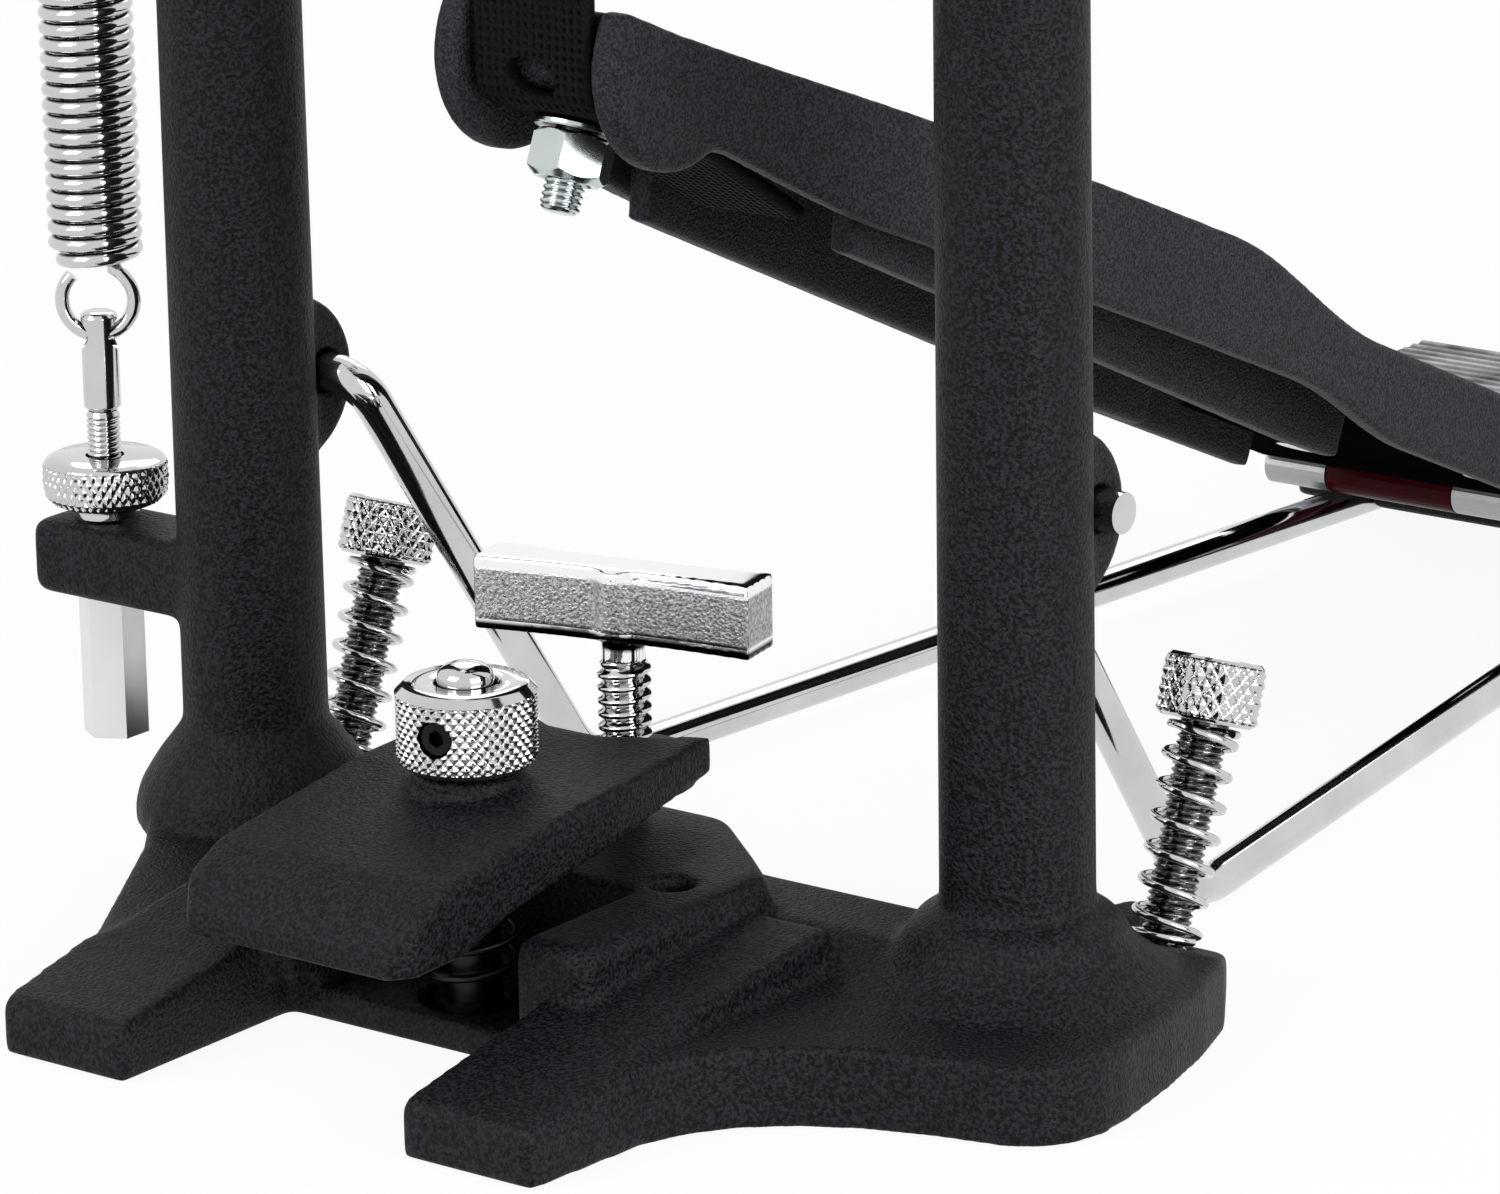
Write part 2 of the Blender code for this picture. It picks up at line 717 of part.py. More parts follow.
def make_rods():
    for side, name in ((1, "right_side_rod"), (-1, "left_side_rod")):
        route = rounded_path(rod_route(side), (ROD_EYE_BEND, ROD_FLOOR_BEND))
        finish(tube(name, route, ROD_RADIUS), "chrome")


def spring_points():
    """Coil with a hook in a vertical plane at each end."""
    per_turn = 8
    body = helix(SPRING_RADIUS, SPRING_PITCH, SPRING_TURNS, SPRING_BOTTOM, per_turn)
    top = SPRING_BOTTOM + SPRING_PITCH * SPRING_TURNS
    spiral_turn = 1.5 * math.pi
    lead = HOOK_LEAD

    def hook(sign, level):
        spiral = []
        for i in range(1, 7):
            f = i / 7
            radius = SPRING_RADIUS + (HOOK_RADIUS * math.sin(lead) - SPRING_RADIUS) * f
            angle = sign * spiral_turn * f
            spiral.append(
                Vector((radius * math.cos(angle), radius * math.sin(angle), level + sign * HOOK_SPIRAL * f))
            )
        centre = level + sign * (HOOK_SPIRAL + HOOK_RADIUS * math.cos(lead))
        loop = []
        for i in range(13):
            angle = lead + (2 * math.pi - 2.6 * lead) * i / 12
            across = -sign * HOOK_RADIUS * math.sin(angle)
            loop.append(Vector((0, across, centre - sign * HOOK_RADIUS * math.cos(angle))))
        return spiral + loop

    return [*reversed(hook(-1, SPRING_BOTTOM)), *body, *hook(1, top)]


def make_return_spring(lower):
    spring = coil("return_spring", spring_points(), SPRING_WIRE)
    facing = Matrix.Rotation(math.radians(-53), 4, "Z")
    spring.data.transform(Matrix.Translation((SPRING_OFFSET, 0, 0)) @ facing)
    carry(lower, finish(spring, "chrome"))


def make_tension_rod():
    """Eye bolt through the bracket, locked by a round nut above and a long nut below."""
    x = SPRING_OFFSET
    low = BRACKET_TOP - BRACKET_DEPTH - HEX_NUT_LENGTH + 0.004
    eye_low = EYE_HEIGHT - 0.0090
    bolt = rod("spring_eye_bolt", EYE_BOLT_RADIUS, (x, 0, low), eye_low - low, "z", 16)
    head = rod("head", EYE_HEAD_RADIUS, (0, 0, eye_low - 0.0005), EYE_HEIGHT - eye_low + 0.0035, "z", 20)
    hole = rod("hole", SPRING_WIRE / 2 + 3 * GAP, (-0.01, 0, EYE_HEIGHT + 0.0002), 0.02, "x", 16)
    head = cut(rounded(head, 0.0006, 1), hole)
    head.data.transform(Matrix.Translation((x, 0, 0)) @ Matrix.Rotation(math.radians(37), 4, "Z"))
    finish(join(bolt, head), "chrome")
    nut_hole = EYE_BOLT_RADIUS + GAP
    bottom = BRACKET_TOP + GAP
    neck = 0.0018
    rim = TENSION_NUT_RADIUS
    profile = [
        (nut_hole, TENSION_NUT_HEIGHT),
        (rim * 0.6, TENSION_NUT_HEIGHT),
        (rim, TENSION_NUT_HEIGHT - 0.0012),
        (rim, neck + 0.0008),
        (rim * 0.9, neck),
        (rim * 0.5, neck),
        (rim * 0.5, 0.0),
        (nut_hole, 0.0),
        (nut_hole, TENSION_NUT_HEIGHT),
    ]
    nut = finish(turned("tension_nut", profile, (x, 0, bottom)), "chrome")
    carry(pivot("tension_nut_pivot", (x, 0, bottom)), nut)
    hex_top = BRACKET_TOP - BRACKET_DEPTH - GAP
    long_nut = rod("lock_nut", HEX_NUT_RADIUS, (x, 0, hex_top - HEX_NUT_LENGTH), HEX_NUT_LENGTH, "z", 6)
    thread = rod("thread", nut_hole, (x, 0, low - GAP), 0.05, "z", 16)
    finish(cut(long_nut, thread), "chrome")


def clamp_heights():
    """Heights of the clamp plate's top and underside at the stud."""
    return COLLAR_BOTTOM - 0.0020, COLLAR_BOTTOM - 0.0085


def make_clamp():
    """Clamp plate on its stud, held down by the collar and tipped by the wing screw."""
    top, low = clamp_heights()
    profile = [
        (CLAMP_FRONT, low - 0.0060),
        (CLAMP_FRONT + 0.0105, low - 0.0057),
        (CLAMP_FRONT + 0.0195, low - 0.0029),
        (STUD_Y, low - 0.0008),
        (-0.0067, low + 0.0027),
        (0.0050, low + 0.0040),
        (0.0050, top + 0.0014),
        (-0.0040, top + 0.0012),
        (STUD_Y, top),
        (CLAMP_FRONT + 0.0085, top - 0.0034),
        (CLAMP_FRONT + 0.0035, top - 0.0058),
        (CLAMP_FRONT, top - 0.0095),
    ]
    clamp = plate("clamp_plate", profile, -2 * CLAMP_HALF_WIDTH, 2 * CLAMP_HALF_WIDTH, "yz")
    corner = 0.0030
    wide = CLAMP_HALF_WIDTH
    half = [(wide - corner, CLAMP_FRONT - 0.001), (wide, CLAMP_FRONT + corner), (wide, STUD_Y + 0.0080)]
    half += [(wide - 0.0015, CLAMP_CREST_Y), (wide * 0.22, CLAMP_CREST_Y - 0.0062)]
    clamp = common(clamp, plate("plan", mirrored(half), low - 0.02, top + 0.02))
    boss_top = COLLAR_BOTTOM - 2 * GAP
    boss = rod("boss", COLLAR_RADIUS * 0.8, (0, STUD_Y, low + 0.002), boss_top - low - 0.002, "z", 24)
    tongue_half = [(CLAMP_TONGUE_RADIUS, STUD_Y + 0.0120)]
    tongue_half += arc((0.0, WING_SCREW_Y), CLAMP_TONGUE_RADIUS, 0, 90, 8)
    tongue = plate("tongue", mirrored(tongue_half), CLAMP_TONGUE_TOP - 0.0040, CLAMP_TONGUE_TOP)
    clamp = join(clamp, boss, tongue)
    stud_hole = rod("stud_hole", STUD_RADIUS + BOLT_CLEARANCE, (0, STUD_Y, low - 0.02), 0.05)
    screw_hole = rod("screw_hole", WING_SCREW_RADIUS + BOLT_CLEARANCE, (0, WING_SCREW_Y, low - 0.02), 0.05)
    clamp = finish(cut(clamp, stud_hole, screw_hole), "powder")
    carry(pivot("clamp_pivot", (0, STUD_Y, COLLAR_BOTTOM)), clamp)


def make_stud():
    """Stud, its collar with a set screw, and the spring that lifts the clamp plate."""
    collar_top = COLLAR_BOTTOM + COLLAR_HEIGHT
    floor = LEDGE_THICKNESS - STUD_SEAT_DEPTH + GAP
    flange = 0.0015
    profile = [
        (0.0, collar_top + 0.0024),
        (STUD_RADIUS * 0.7, collar_top + 0.0022),
        (STUD_RADIUS, collar_top + 0.0012),
        (STUD_RADIUS, floor + flange),
        (STUD_RADIUS + 0.0014, floor + flange),
        (STUD_RADIUS + 0.0014, floor),
        (STUD_RADIUS, floor),
        (STUD_RADIUS, 0.0008),
        (0.0, 0.0008),
    ]
    finish(turned("clamp_stud", profile, (0, STUD_Y, 0)), "chrome")
    bore = STUD_RADIUS + GAP
    edge = 0.0008
    collar_profile = [
        (bore, COLLAR_HEIGHT),
        (COLLAR_RADIUS - edge, COLLAR_HEIGHT),
        (COLLAR_RADIUS, COLLAR_HEIGHT - edge),
        (COLLAR_RADIUS, edge),
        (COLLAR_RADIUS - edge, 0.0),
        (bore, 0.0),
        (bore, COLLAR_HEIGHT),
    ]
    collar = turned("clamp_collar", collar_profile, (0, STUD_Y, COLLAR_BOTTOM))
    screw_z = COLLAR_BOTTOM + COLLAR_HEIGHT / 2
    screw_radius = 0.0019
    facing = Matrix.Translation((0, STUD_Y, screw_z)) @ Matrix.Rotation(math.radians(11), 4, "Z")
    hole = rod("hole", screw_radius + GAP, (0, -0.02, 0), 0.02, "y", 16)
    hole.data.transform(facing)
    finish(cut(collar, hole), "chrome")
    depth = COLLAR_RADIUS - bore - 0.0009
    screw = rod("collar_set_screw", screw_radius, (0, -bore - depth, 0), depth, "y", 16)
    socket = rod("socket", screw_radius * 0.55, (0, -bore - depth - 0.001, 0), 0.0025, "y", 6)
    screw = cut(screw, socket)
    screw.data.transform(facing)
    finish(screw, "plastic")
    low = floor + flange + GAP + CLAMP_SPRING_WIRE / 2
    high = clamp_heights()[1] - 0.0012 - GAP - CLAMP_SPRING_WIRE
    points = helix(CLAMP_SPRING_RADIUS, (high - low) / CLAMP_SPRING_TURNS, CLAMP_SPRING_TURNS, low)
    spring = coil("clamp_spring", points, CLAMP_SPRING_WIRE)
    spring.data.transform(Matrix.Translation((0, STUD_Y, 0)))
    finish(spring, "chrome")


def wing_outline(half, end, waist):
    """Bow tie in plan: wide at both ends and drawn in at the middle."""
    upper = [(half, end)]
    upper += bend((half, end), (half * 0.45, waist * 0.9), (0.0, waist), 5)
    upper += [(-x, y) for x, y in reversed(upper[:-1])]
    return upper + [(x, -y) for x, y in reversed(upper)]


def make_wing_screw():
    """Wing screw: a bow-tie head with a round boss, on a threaded shank that bears on the platform."""
    low = PLATFORM_HEIGHT + GAP
    outline = wing_outline(WING_LENGTH / 2, WING_END / 2, WING_WAIST / 2)
    wing = plate("wing_screw", outline, 0.0, WING_HEIGHT)
    wing = rounded(wing, 0.0009)
    wing.data.transform(
        Matrix.Translation((0, WING_SCREW_Y, WING_BOTTOM)) @ Matrix.Rotation(WING_TURN, 4, "Z")
    )
    edge = 0.0004
    boss_start = (0, WING_SCREW_Y, WING_BOTTOM + edge)
    boss = rod("boss", WING_WAIST / 2 + 0.0009, boss_start, WING_HEIGHT - 2 * edge, "z", 24)
    neck_low = WING_BOTTOM - WING_NECK
    shank = rod("shank", WING_SCREW_RADIUS, (0, WING_SCREW_Y, low), neck_low - low, "z", 20)
    neck_start = (0, WING_SCREW_Y, neck_low - edge)
    neck = rod("neck", WING_SCREW_RADIUS - 0.0003, neck_start, WING_NECK + WING_HEIGHT / 2, "z", 20)
    screw = finish(join(wing, boss, neck, shank), "chrome")
    carry(pivot("wing_screw_pivot", (0, WING_SCREW_Y, low)), screw)


def make_spurs():
    """A threaded spur with a knurled head and its spring, at the back of each wing."""
    head_low = SPUR_SPRING_LENGTH
    head_top = head_low + SPUR_HEAD_HEIGHT
    tip = -(WING_THICKNESS - 0.0012) / math.cos(SPUR_LEAN)
    edge = 0.0007
    profile = [
        (0.0, head_top),
        (SPUR_HEAD_RADIUS - edge, head_top),
        (SPUR_HEAD_RADIUS, head_top - edge),
        (SPUR_HEAD_RADIUS, head_low + edge),
        (SPUR_HEAD_RADIUS - edge, head_low),
        (SPUR_RADIUS, head_low),
        (SPUR_RADIUS, tip + 0.0045),
        (0.0, tip),
    ]
    low = GAP + SPUR_SPRING_WIRE / 2 - SPUR_SEAT
    high = head_low - GAP - SPUR_SPRING_WIRE / 2
    pitch = (high - low) / SPUR_SPRING_TURNS
    for side, name in ((1, "right"), (-1, "left")):
        placed = spur_frame(side)
        spur = turned(name + "_spur", profile, steps=24)
        spur.data.transform(placed)
        carry(pivot(name + "_spur_pivot", placed.translation), finish(spur, "chrome"))
        points = helix(SPUR_SPRING_RADIUS, pitch, SPUR_SPRING_TURNS, low, hand=-1)
        spring = coil(name + "_spur_spring", points, SPUR_SPRING_WIRE)
        spring.data.transform(placed)
        finish(spring, "chrome")


def board_point(s, t):
    """World (y, z) of a point on the footboard's side view."""
    along = (-math.cos(BOARD_ANGLE), math.sin(BOARD_ANGLE))
    up = (math.sin(BOARD_ANGLE), math.cos(BOARD_ANGLE))
    return HINGE_Y + s * along[0] + t * up[0], HINGE_Z + s * along[1] + t * up[1]


def board_frame():
    """Placement whose x, y and z are the pedal's X, the way to the heel, and the board's normal."""
    return Matrix.Translation((0, HINGE_Y, HINGE_Z)) @ Matrix.Rotation(-BOARD_ANGLE, 4, "X")


def smooth_step(at, start, length):
    """0 before a start and 1 after a length, with a smooth rise between."""
    f = min(max((at - start) / length, 0.0), 1.0)
    return f * f * (3 - 2 * f)


def board_top(s):
    """Height of the board's top: low at the heel, one smooth step up to the toe part."""
    return BOARD_TOP - BOARD_STEP * (1 - smooth_step(s, 0.0885, 0.0380))


def board_rim(s):
    """Height of the walls' lower edge, with one smooth step up at the middle and one at the toe."""
    middle = (BOARD_RIM_MIDDLE - BOARD_RIM_HEEL) * smooth_step(s, 0.0753, 0.0285)
    return BOARD_RIM_HEEL + middle + (BOARD_RIM_TOE - BOARD_RIM_MIDDLE) * smooth_step(s, 0.1843, 0.0345)


def board_stations(start, stop, count):
    return [start + (stop - start) * i / count for i in range(count + 1)]


def bent_stations(start, stop):
    """Stations along the board from start to stop, close together where its side view bends."""
    inner = board_stations(0.0753, 0.1265, 18) + board_stations(0.1843, 0.2188, 8)
    return [start, *[s for s in inner if start < s < stop - 0.0010], stop]


def board_profile():
    """Side view of the board's rim, from the heel end to the middle of the toe."""
    stations = bent_stations(BOARD_HEEL_END, TOE_NOSE_S)
    top = [board_point(s, board_top(s)) for s in stations]
    low = [board_point(s, board_rim(s)) for s in stations]
    return top + low[::-1]


def board_plan(inset):
    """Plan of the board: narrow at the toe, full from the middle to the heel."""
    half = [(through(BOARD_WIDTHS, y) - inset, y) for y in board_stations(-0.0250, 0.2450, 30)]
    return [*half, *[(-x, y) for x, y in reversed(half)]]


def make_footboard(hinge):
    """Cast footboard: a skin with side walls, a solid round toe, a slot for the strap, two ribs."""
    wide = 2 * BOARD_HALF_WIDTH
    board = plate("footboard", board_profile(), -wide, wide, "yz")
    board = common(board, plate("plan", board_plan(0.0), -0.05, 0.20))
    pocket_end = TOE_NOSE_S - 0.0120
    ceiling = [board_point(s, board_top(s) - BOARD_SKIN) for s in bent_stations(-0.005, pocket_end)]
    opening = [board_point(pocket_end, -0.03), board_point(-0.005, -0.03)]
    pocket = plate("pocket", ceiling + opening, -wide, wide, "yz")
    board = cut(board, common(pocket, plate("inner_plan", board_plan(BOARD_WALL), -0.06, 0.21)))
    board = join(board, make_nose(), *[make_rib(side) for side in (1, -1)])
    holes = [make_leaf_hole(side, board_top(LEAF_SCREW_S) - 0.0007) for side in (1, -1)]
    board = cut(board, make_toe_slot(), make_bolt_hole(), make_heel_relief(), *holes)
    carry(hinge, finish(board, "powder"))


def make_heel_relief():
    """Clears the walls away over the hinge, and leaves the skin."""
    skin_low = board_top(BOARD_HEEL_END) - BOARD_SKIN + 0.0002
    corners = ((-0.01, -0.03), (BOARD_WALL_END, -0.03), (BOARD_WALL_END, skin_low), (-0.01, skin_low))
    wide = 2 * BOARD_HALF_WIDTH
    return plate("heel_relief", [board_point(s, t) for s, t in corners], -wide, wide, "yz")


def make_nose():
    """Round toe, cut off level with the board's top."""
    nose_y, nose_z = board_point(TOE_NOSE_S, TOE_NOSE_T)
    start = (-TOE_HALF_WIDTH, nose_y, nose_z)
    nose = rounded(rod("nose", TOE_NOSE_RADIUS, start, 2 * TOE_HALF_WIDTH, "x", 36), 0.0008)
    above = box("above", (-0.05, -0.30, BOARD_TOP), (0.05, -0.15, BOARD_TOP + 0.05))
    above.data.transform(board_frame())
    return cut(nose, above)


def make_rib(side):
    """A deep rib under the board."""
    start = RIB_EDGE[0][0]
    end = 0.1900
    outline = [board_point(s, t) for s, t in RIB_EDGE]
    outline += [board_point(s, board_top(s) - BOARD_SKIN / 2) for s in board_stations(end, start, 14)]
    inner = side * (RIB_OFFSET - RIB_WIDTH / 2)
    outer = side * (RIB_OFFSET + RIB_WIDTH / 2)
    return plate("rib", outline, min(inner, outer), max(inner, outer), "yz")


def toe_corner(offset):
    """Route round the toe at a distance outside its front and its underside, in side view."""
    y = TOE_FRONT_Y - offset
    t = TOE_PAD_T - offset
    s = (HINGE_Y + t * math.sin(BOARD_ANGLE) - y) / math.cos(BOARD_ANGLE)
    corner = (0, *board_point(s, t))
    points = [(0, y, STRAP_TOP_Z), corner, (0, *board_point(STRAP_TAIL_S + 0.0180, t))]
    route = rounded_path(points, [TOE_PAD_CORNER + offset])
    return [(place.y, place.z) for place in route]


def make_toe_slot():
    """Clears the strap's way round the front of the toe and under it."""
    wide = TOE_SLOT_HALF_WIDTH
    outline = toe_corner(0.0)
    outline = [(TOE_FRONT_Y, STRAP_TOP_Z + 0.02), *outline[1:]]
    rear_y = outline[-1][0]
    outline += [(rear_y, 0.05), (-0.06, 0.05), (-0.06, STRAP_TOP_Z + 0.02)]
    return plate("toe_slot", outline, -wide, wide, "yz")


def make_bolt_hole():
    hole = rod("bolt_hole", STRAP_BOLT_RADIUS + GAP, (0, -STRAP_BOLT_S, -0.02), 0.06)
    recess_low = BOARD_TOP - 0.0030
    recess = rod("recess", STRAP_NUT_RADIUS + GAP, (0, -STRAP_BOLT_S, recess_low), 0.02)
    hole = join(hole, recess)
    hole.data.transform(board_frame())
    return hole


def make_leaf_hole(side, top):
    """Hole for a leaf screw, from below up to a height over the hinge."""
    low = -0.02
    start = (side * LEAF_SCREW_X, -LEAF_SCREW_S, low)
    hole = rod("leaf_hole", LEAF_SCREW_RADIUS + GAP, start, top - low, "z", 12)
    hole.data.transform(board_frame())
    return hole


def strap_body(name, points, half_width):
    """A flat strap that follows a centre line in side view."""
    half = STRAP_THICKNESS / 2
    left = []
    right = []
    places = [Vector(p) for p in points]
    for i, place in enumerate(places):
        before = places[max(i - 1, 0)]
        after = places[min(i + 1, len(places) - 1)]
        along = (after - before).normalized()
        across = Vector((-along.y, along.x)) * half
        left.append(tuple(place + across))
        right.append(tuple(place - across))
    return finish(plate(name, left + right[::-1], -half_width, half_width, "yz"), "nylon")


def strap_tangent():
    """Where the free strap leaves the wheel, and where it reaches the toe, in side view."""
    radius = WHEEL_RADIUS + GAP + STRAP_THICKNESS / 2
    toe = Vector((TOE_FRONT_Y - GAP - STRAP_THICKNESS / 2, STRAP_TOP_Z))
    centre = Vector((0.0, AXLE_HEIGHT))
    way = toe - centre
    angle = math.atan2(way.y, way.x) - math.acos(radius / way.length)
    return centre, radius, angle, toe


def make_strap(axle, strap_pivot, hinge):
    """Nylon strap in three lengths: on the wheel, free, and round the toe."""
    centre, radius, angle, toe = strap_tangent()
    leave = centre + radius * Vector((math.cos(angle), math.sin(angle)))
    half_width = STRAP_WIDTH / 2
    wrap = []
    for i in range(19):
        turn = angle - math.radians(1 + STRAP_WRAP * i / 18)
        wrap.append(centre + radius * Vector((math.cos(turn), math.sin(turn))))
    carry(axle, strap_body("strap_on_wheel", wrap, half_width))
    inset = (toe - leave).normalized() * GAP
    carry(strap_pivot, strap_body("strap_span", [leave + inset, toe - inset], half_width))
    offset = GAP + STRAP_THICKNESS / 2
    tail = board_point(STRAP_TAIL_S, TOE_PAD_T - offset - 0.0027)
    toe_strap = strap_body("strap_at_toe", [*toe_corner(offset), tail], half_width)
    hole = rod("hole", STRAP_BOLT_RADIUS + GAP, (0, -STRAP_BOLT_S, -0.02), 0.03)
    hole.data.transform(board_frame())
    slot_start = (0, TOE_FRONT_Y - 0.01, STRAP_SLOT_Z)
    slot = rod("slot", STRAP_SLOT_RADIUS, slot_start, 0.01 - GAP / 2, "y", 20)
    carry(hinge, finish(cut(toe_strap, hole, slot), "nylon"))


def make_strap_bolt(hinge):
    """Bolt through toe and strap, with a washer and a nut below."""
    placed = board_frame()
    y = -STRAP_BOLT_S
    head_top = BOARD_TOP - 0.0002
    head_low = BOARD_TOP - 0.0030 + GAP
    washer_top = TOE_PAD_T - STRAP_THICKNESS - 2 * GAP
    washer = 0.0008
    nut_top = washer_top - washer - GAP
    nut_low = nut_top - STRAP_NUT_HEIGHT
    stub = 0.0036
    bolt = rod("strap_bolt", STRAP_BOLT_RADIUS, (0, y, nut_low - stub), head_low - nut_low + stub + 0.001)
    head = rod("head", STRAP_NUT_RADIUS, (0, y, head_low), head_top - head_low)
    bolt = join(bolt, head)
    ring_inside = STRAP_BOLT_RADIUS + GAP
    washer_start = (0, y, washer_top - washer)
    flat = ring("strap_washer", STRAP_NUT_RADIUS + 0.0002, ring_inside, washer_start, washer, "z", 24)
    nut = rod("strap_nut", STRAP_NUT_RADIUS, (0, y, nut_low), STRAP_NUT_HEIGHT, "z", 6)
    nut = cut(nut, rod("thread", ring_inside, (0, y, nut_low - 0.01), 0.03))
    for piece in (bolt, flat, nut):
        piece.data.transform(placed)
        carry(hinge, finish(piece, "zinc"))


def make_hinge(hinge):
    """Bright leaf on the footboard, red leaf on the heel plate, and their pin."""
    bore = HINGE_PIN_RADIUS + GAP
    wide = HINGE_HALF_WIDTH
    pin = rod("hinge_pin", HINGE_PIN_RADIUS, (-wide - 0.0008, HINGE_Y, HINGE_Z), 2 * wide + 0.0016, "x", 16)
    finish(pin, "chrome")
    carry(hinge, finish(make_board_leaf(bore), "aluminium"))
    finish(make_heel_leaf(bore), "red")
    head_top = board_top(LEAF_SCREW_S) - BOARD_SKIN - LEAF_THICKNESS - 2 * GAP
    shank_top = board_top(LEAF_SCREW_S) - 0.0010
    head = 0.0014
    for side, name in ((1, "right_leaf_screw"), (-1, "left_leaf_screw")):
        x = side * LEAF_SCREW_X
        start = (x, -LEAF_SCREW_S, head_top - head / 2)
        shank = rod(name, LEAF_SCREW_RADIUS, start, shank_top - head_top, "z", 12)
        screw = join(shank, rod("head", 0.0030, (x, -LEAF_SCREW_S, head_top - head), head, "z", 16))
        screw.data.transform(board_frame())
        carry(hinge, finish(screw, "zinc"))


def knuckle(start, width):
    return rod("knuckle", KNUCKLE_RADIUS, (start, HINGE_Y, HINGE_Z), width, "x", 24)


def make_board_leaf(bore):
    """Leaf under the board with a knuckle at each end and one in the middle."""
    wide = HINGE_HALF_WIDTH
    high = board_top(LEAF_SCREW_S) - BOARD_SKIN - GAP
    inside = BOARD_HALF_WIDTH - BOARD_WALL - 0.0010
    strip_rear = -KNUCKLE_RADIUS - 0.0008
    strip_front = -BOARD_HEEL_END + 2 * GAP
    corner = (-inside, -LEAF_FRONT_S, high - LEAF_THICKNESS)
    leaf = box("board_hinge_leaf", corner, (inside, -LEAF_REAR_S, high))
    strip = box("strip", (-wide, strip_front, 0.0004), (wide, strip_rear, KNUCKLE_RADIUS))
    pieces = [strip]
    for start in (-wide, -KNUCKLE_WIDTH / 2, wide - KNUCKLE_WIDTH):
        pieces.append(rod("knuckle", KNUCKLE_RADIUS, (start, 0, 0), KNUCKLE_WIDTH, "x", 24))
        arm_end = (start + KNUCKLE_WIDTH, 0, KNUCKLE_RADIUS)
        pieces.append(box("arm", (start, strip_rear - 0.001, 0.0006), arm_end))
    leaf = join(leaf, *pieces)
    leaf = cut(leaf, rod("pin_hole", bore, (-2 * wide, 0, 0), 4 * wide, "x", 16))
    leaf.data.transform(board_frame())
    return cut(leaf, *[make_leaf_hole(side, high + 0.01) for side in (1, -1)])


def heel_leaf_span():
    """Inner and outer ends of a red knuckle."""
    return KNUCKLE_WIDTH / 2 + GAP, HINGE_HALF_WIDTH - KNUCKLE_WIDTH - GAP


def make_heel_leaf(bore):
    """Leaf set into the heel plate's front, with two long knuckles."""
    inner, outer = heel_leaf_span()
    low = HINGE_Z - KNUCKLE_RADIUS
    rear = HEEL_FRONT + LEAF_SLOT_DEPTH - GAP
    high = low + LEAF_THICKNESS
    leaf = box("heel_hinge_leaf", (-LEAF_HALF_WIDTH, HINGE_Y, low), (LEAF_HALF_WIDTH, rear, high))
    relief_rear = HINGE_Y + KNUCKLE_RADIUS + 0.0008
    relief = box("relief", (-inner, HINGE_Y - 0.01, low - 0.001), (inner, relief_rear, low + 0.01))
    leaf = cut(leaf, relief)
    leaf = join(leaf, knuckle(inner, outer - inner), knuckle(-outer, outer - inner))
    return cut(leaf, rod("pin_hole", bore, (-0.1, HINGE_Y, HINGE_Z), 0.2, "x", 16))


def heel_outline(inset, front):
    """Plan of the heel plate with round back corners."""
    wide = HEEL_HALF_WIDTH - inset
    back = HEEL_FRONT + HEEL_LENGTH - inset
    corner = 0.0160 - inset
    half = [(wide - 0.0020, front), (wide, front + 0.0020)]
    half += arc((wide - corner, back - corner), corner, 0, 90, 6)
    return mirrored(half)


def heel_side(drop):
    """Wedge in side view: level under the tread, then falling to a thin back edge."""
    margin = 0.01
    back = HEEL_FRONT + HEEL_LENGTH
    fall = (HEEL_TOP - HEEL_BACK_TOP) / (back - HEEL_CREST_Y)
    top = HEEL_TOP - drop
    return [
        (HEEL_FRONT - margin, -2 * margin),
        (HEEL_FRONT - margin, top),
        (HEEL_CREST_Y, top),
        (back + margin, top - fall * (back + margin - HEEL_CREST_Y)),
        (back + margin, -2 * margin),
    ]


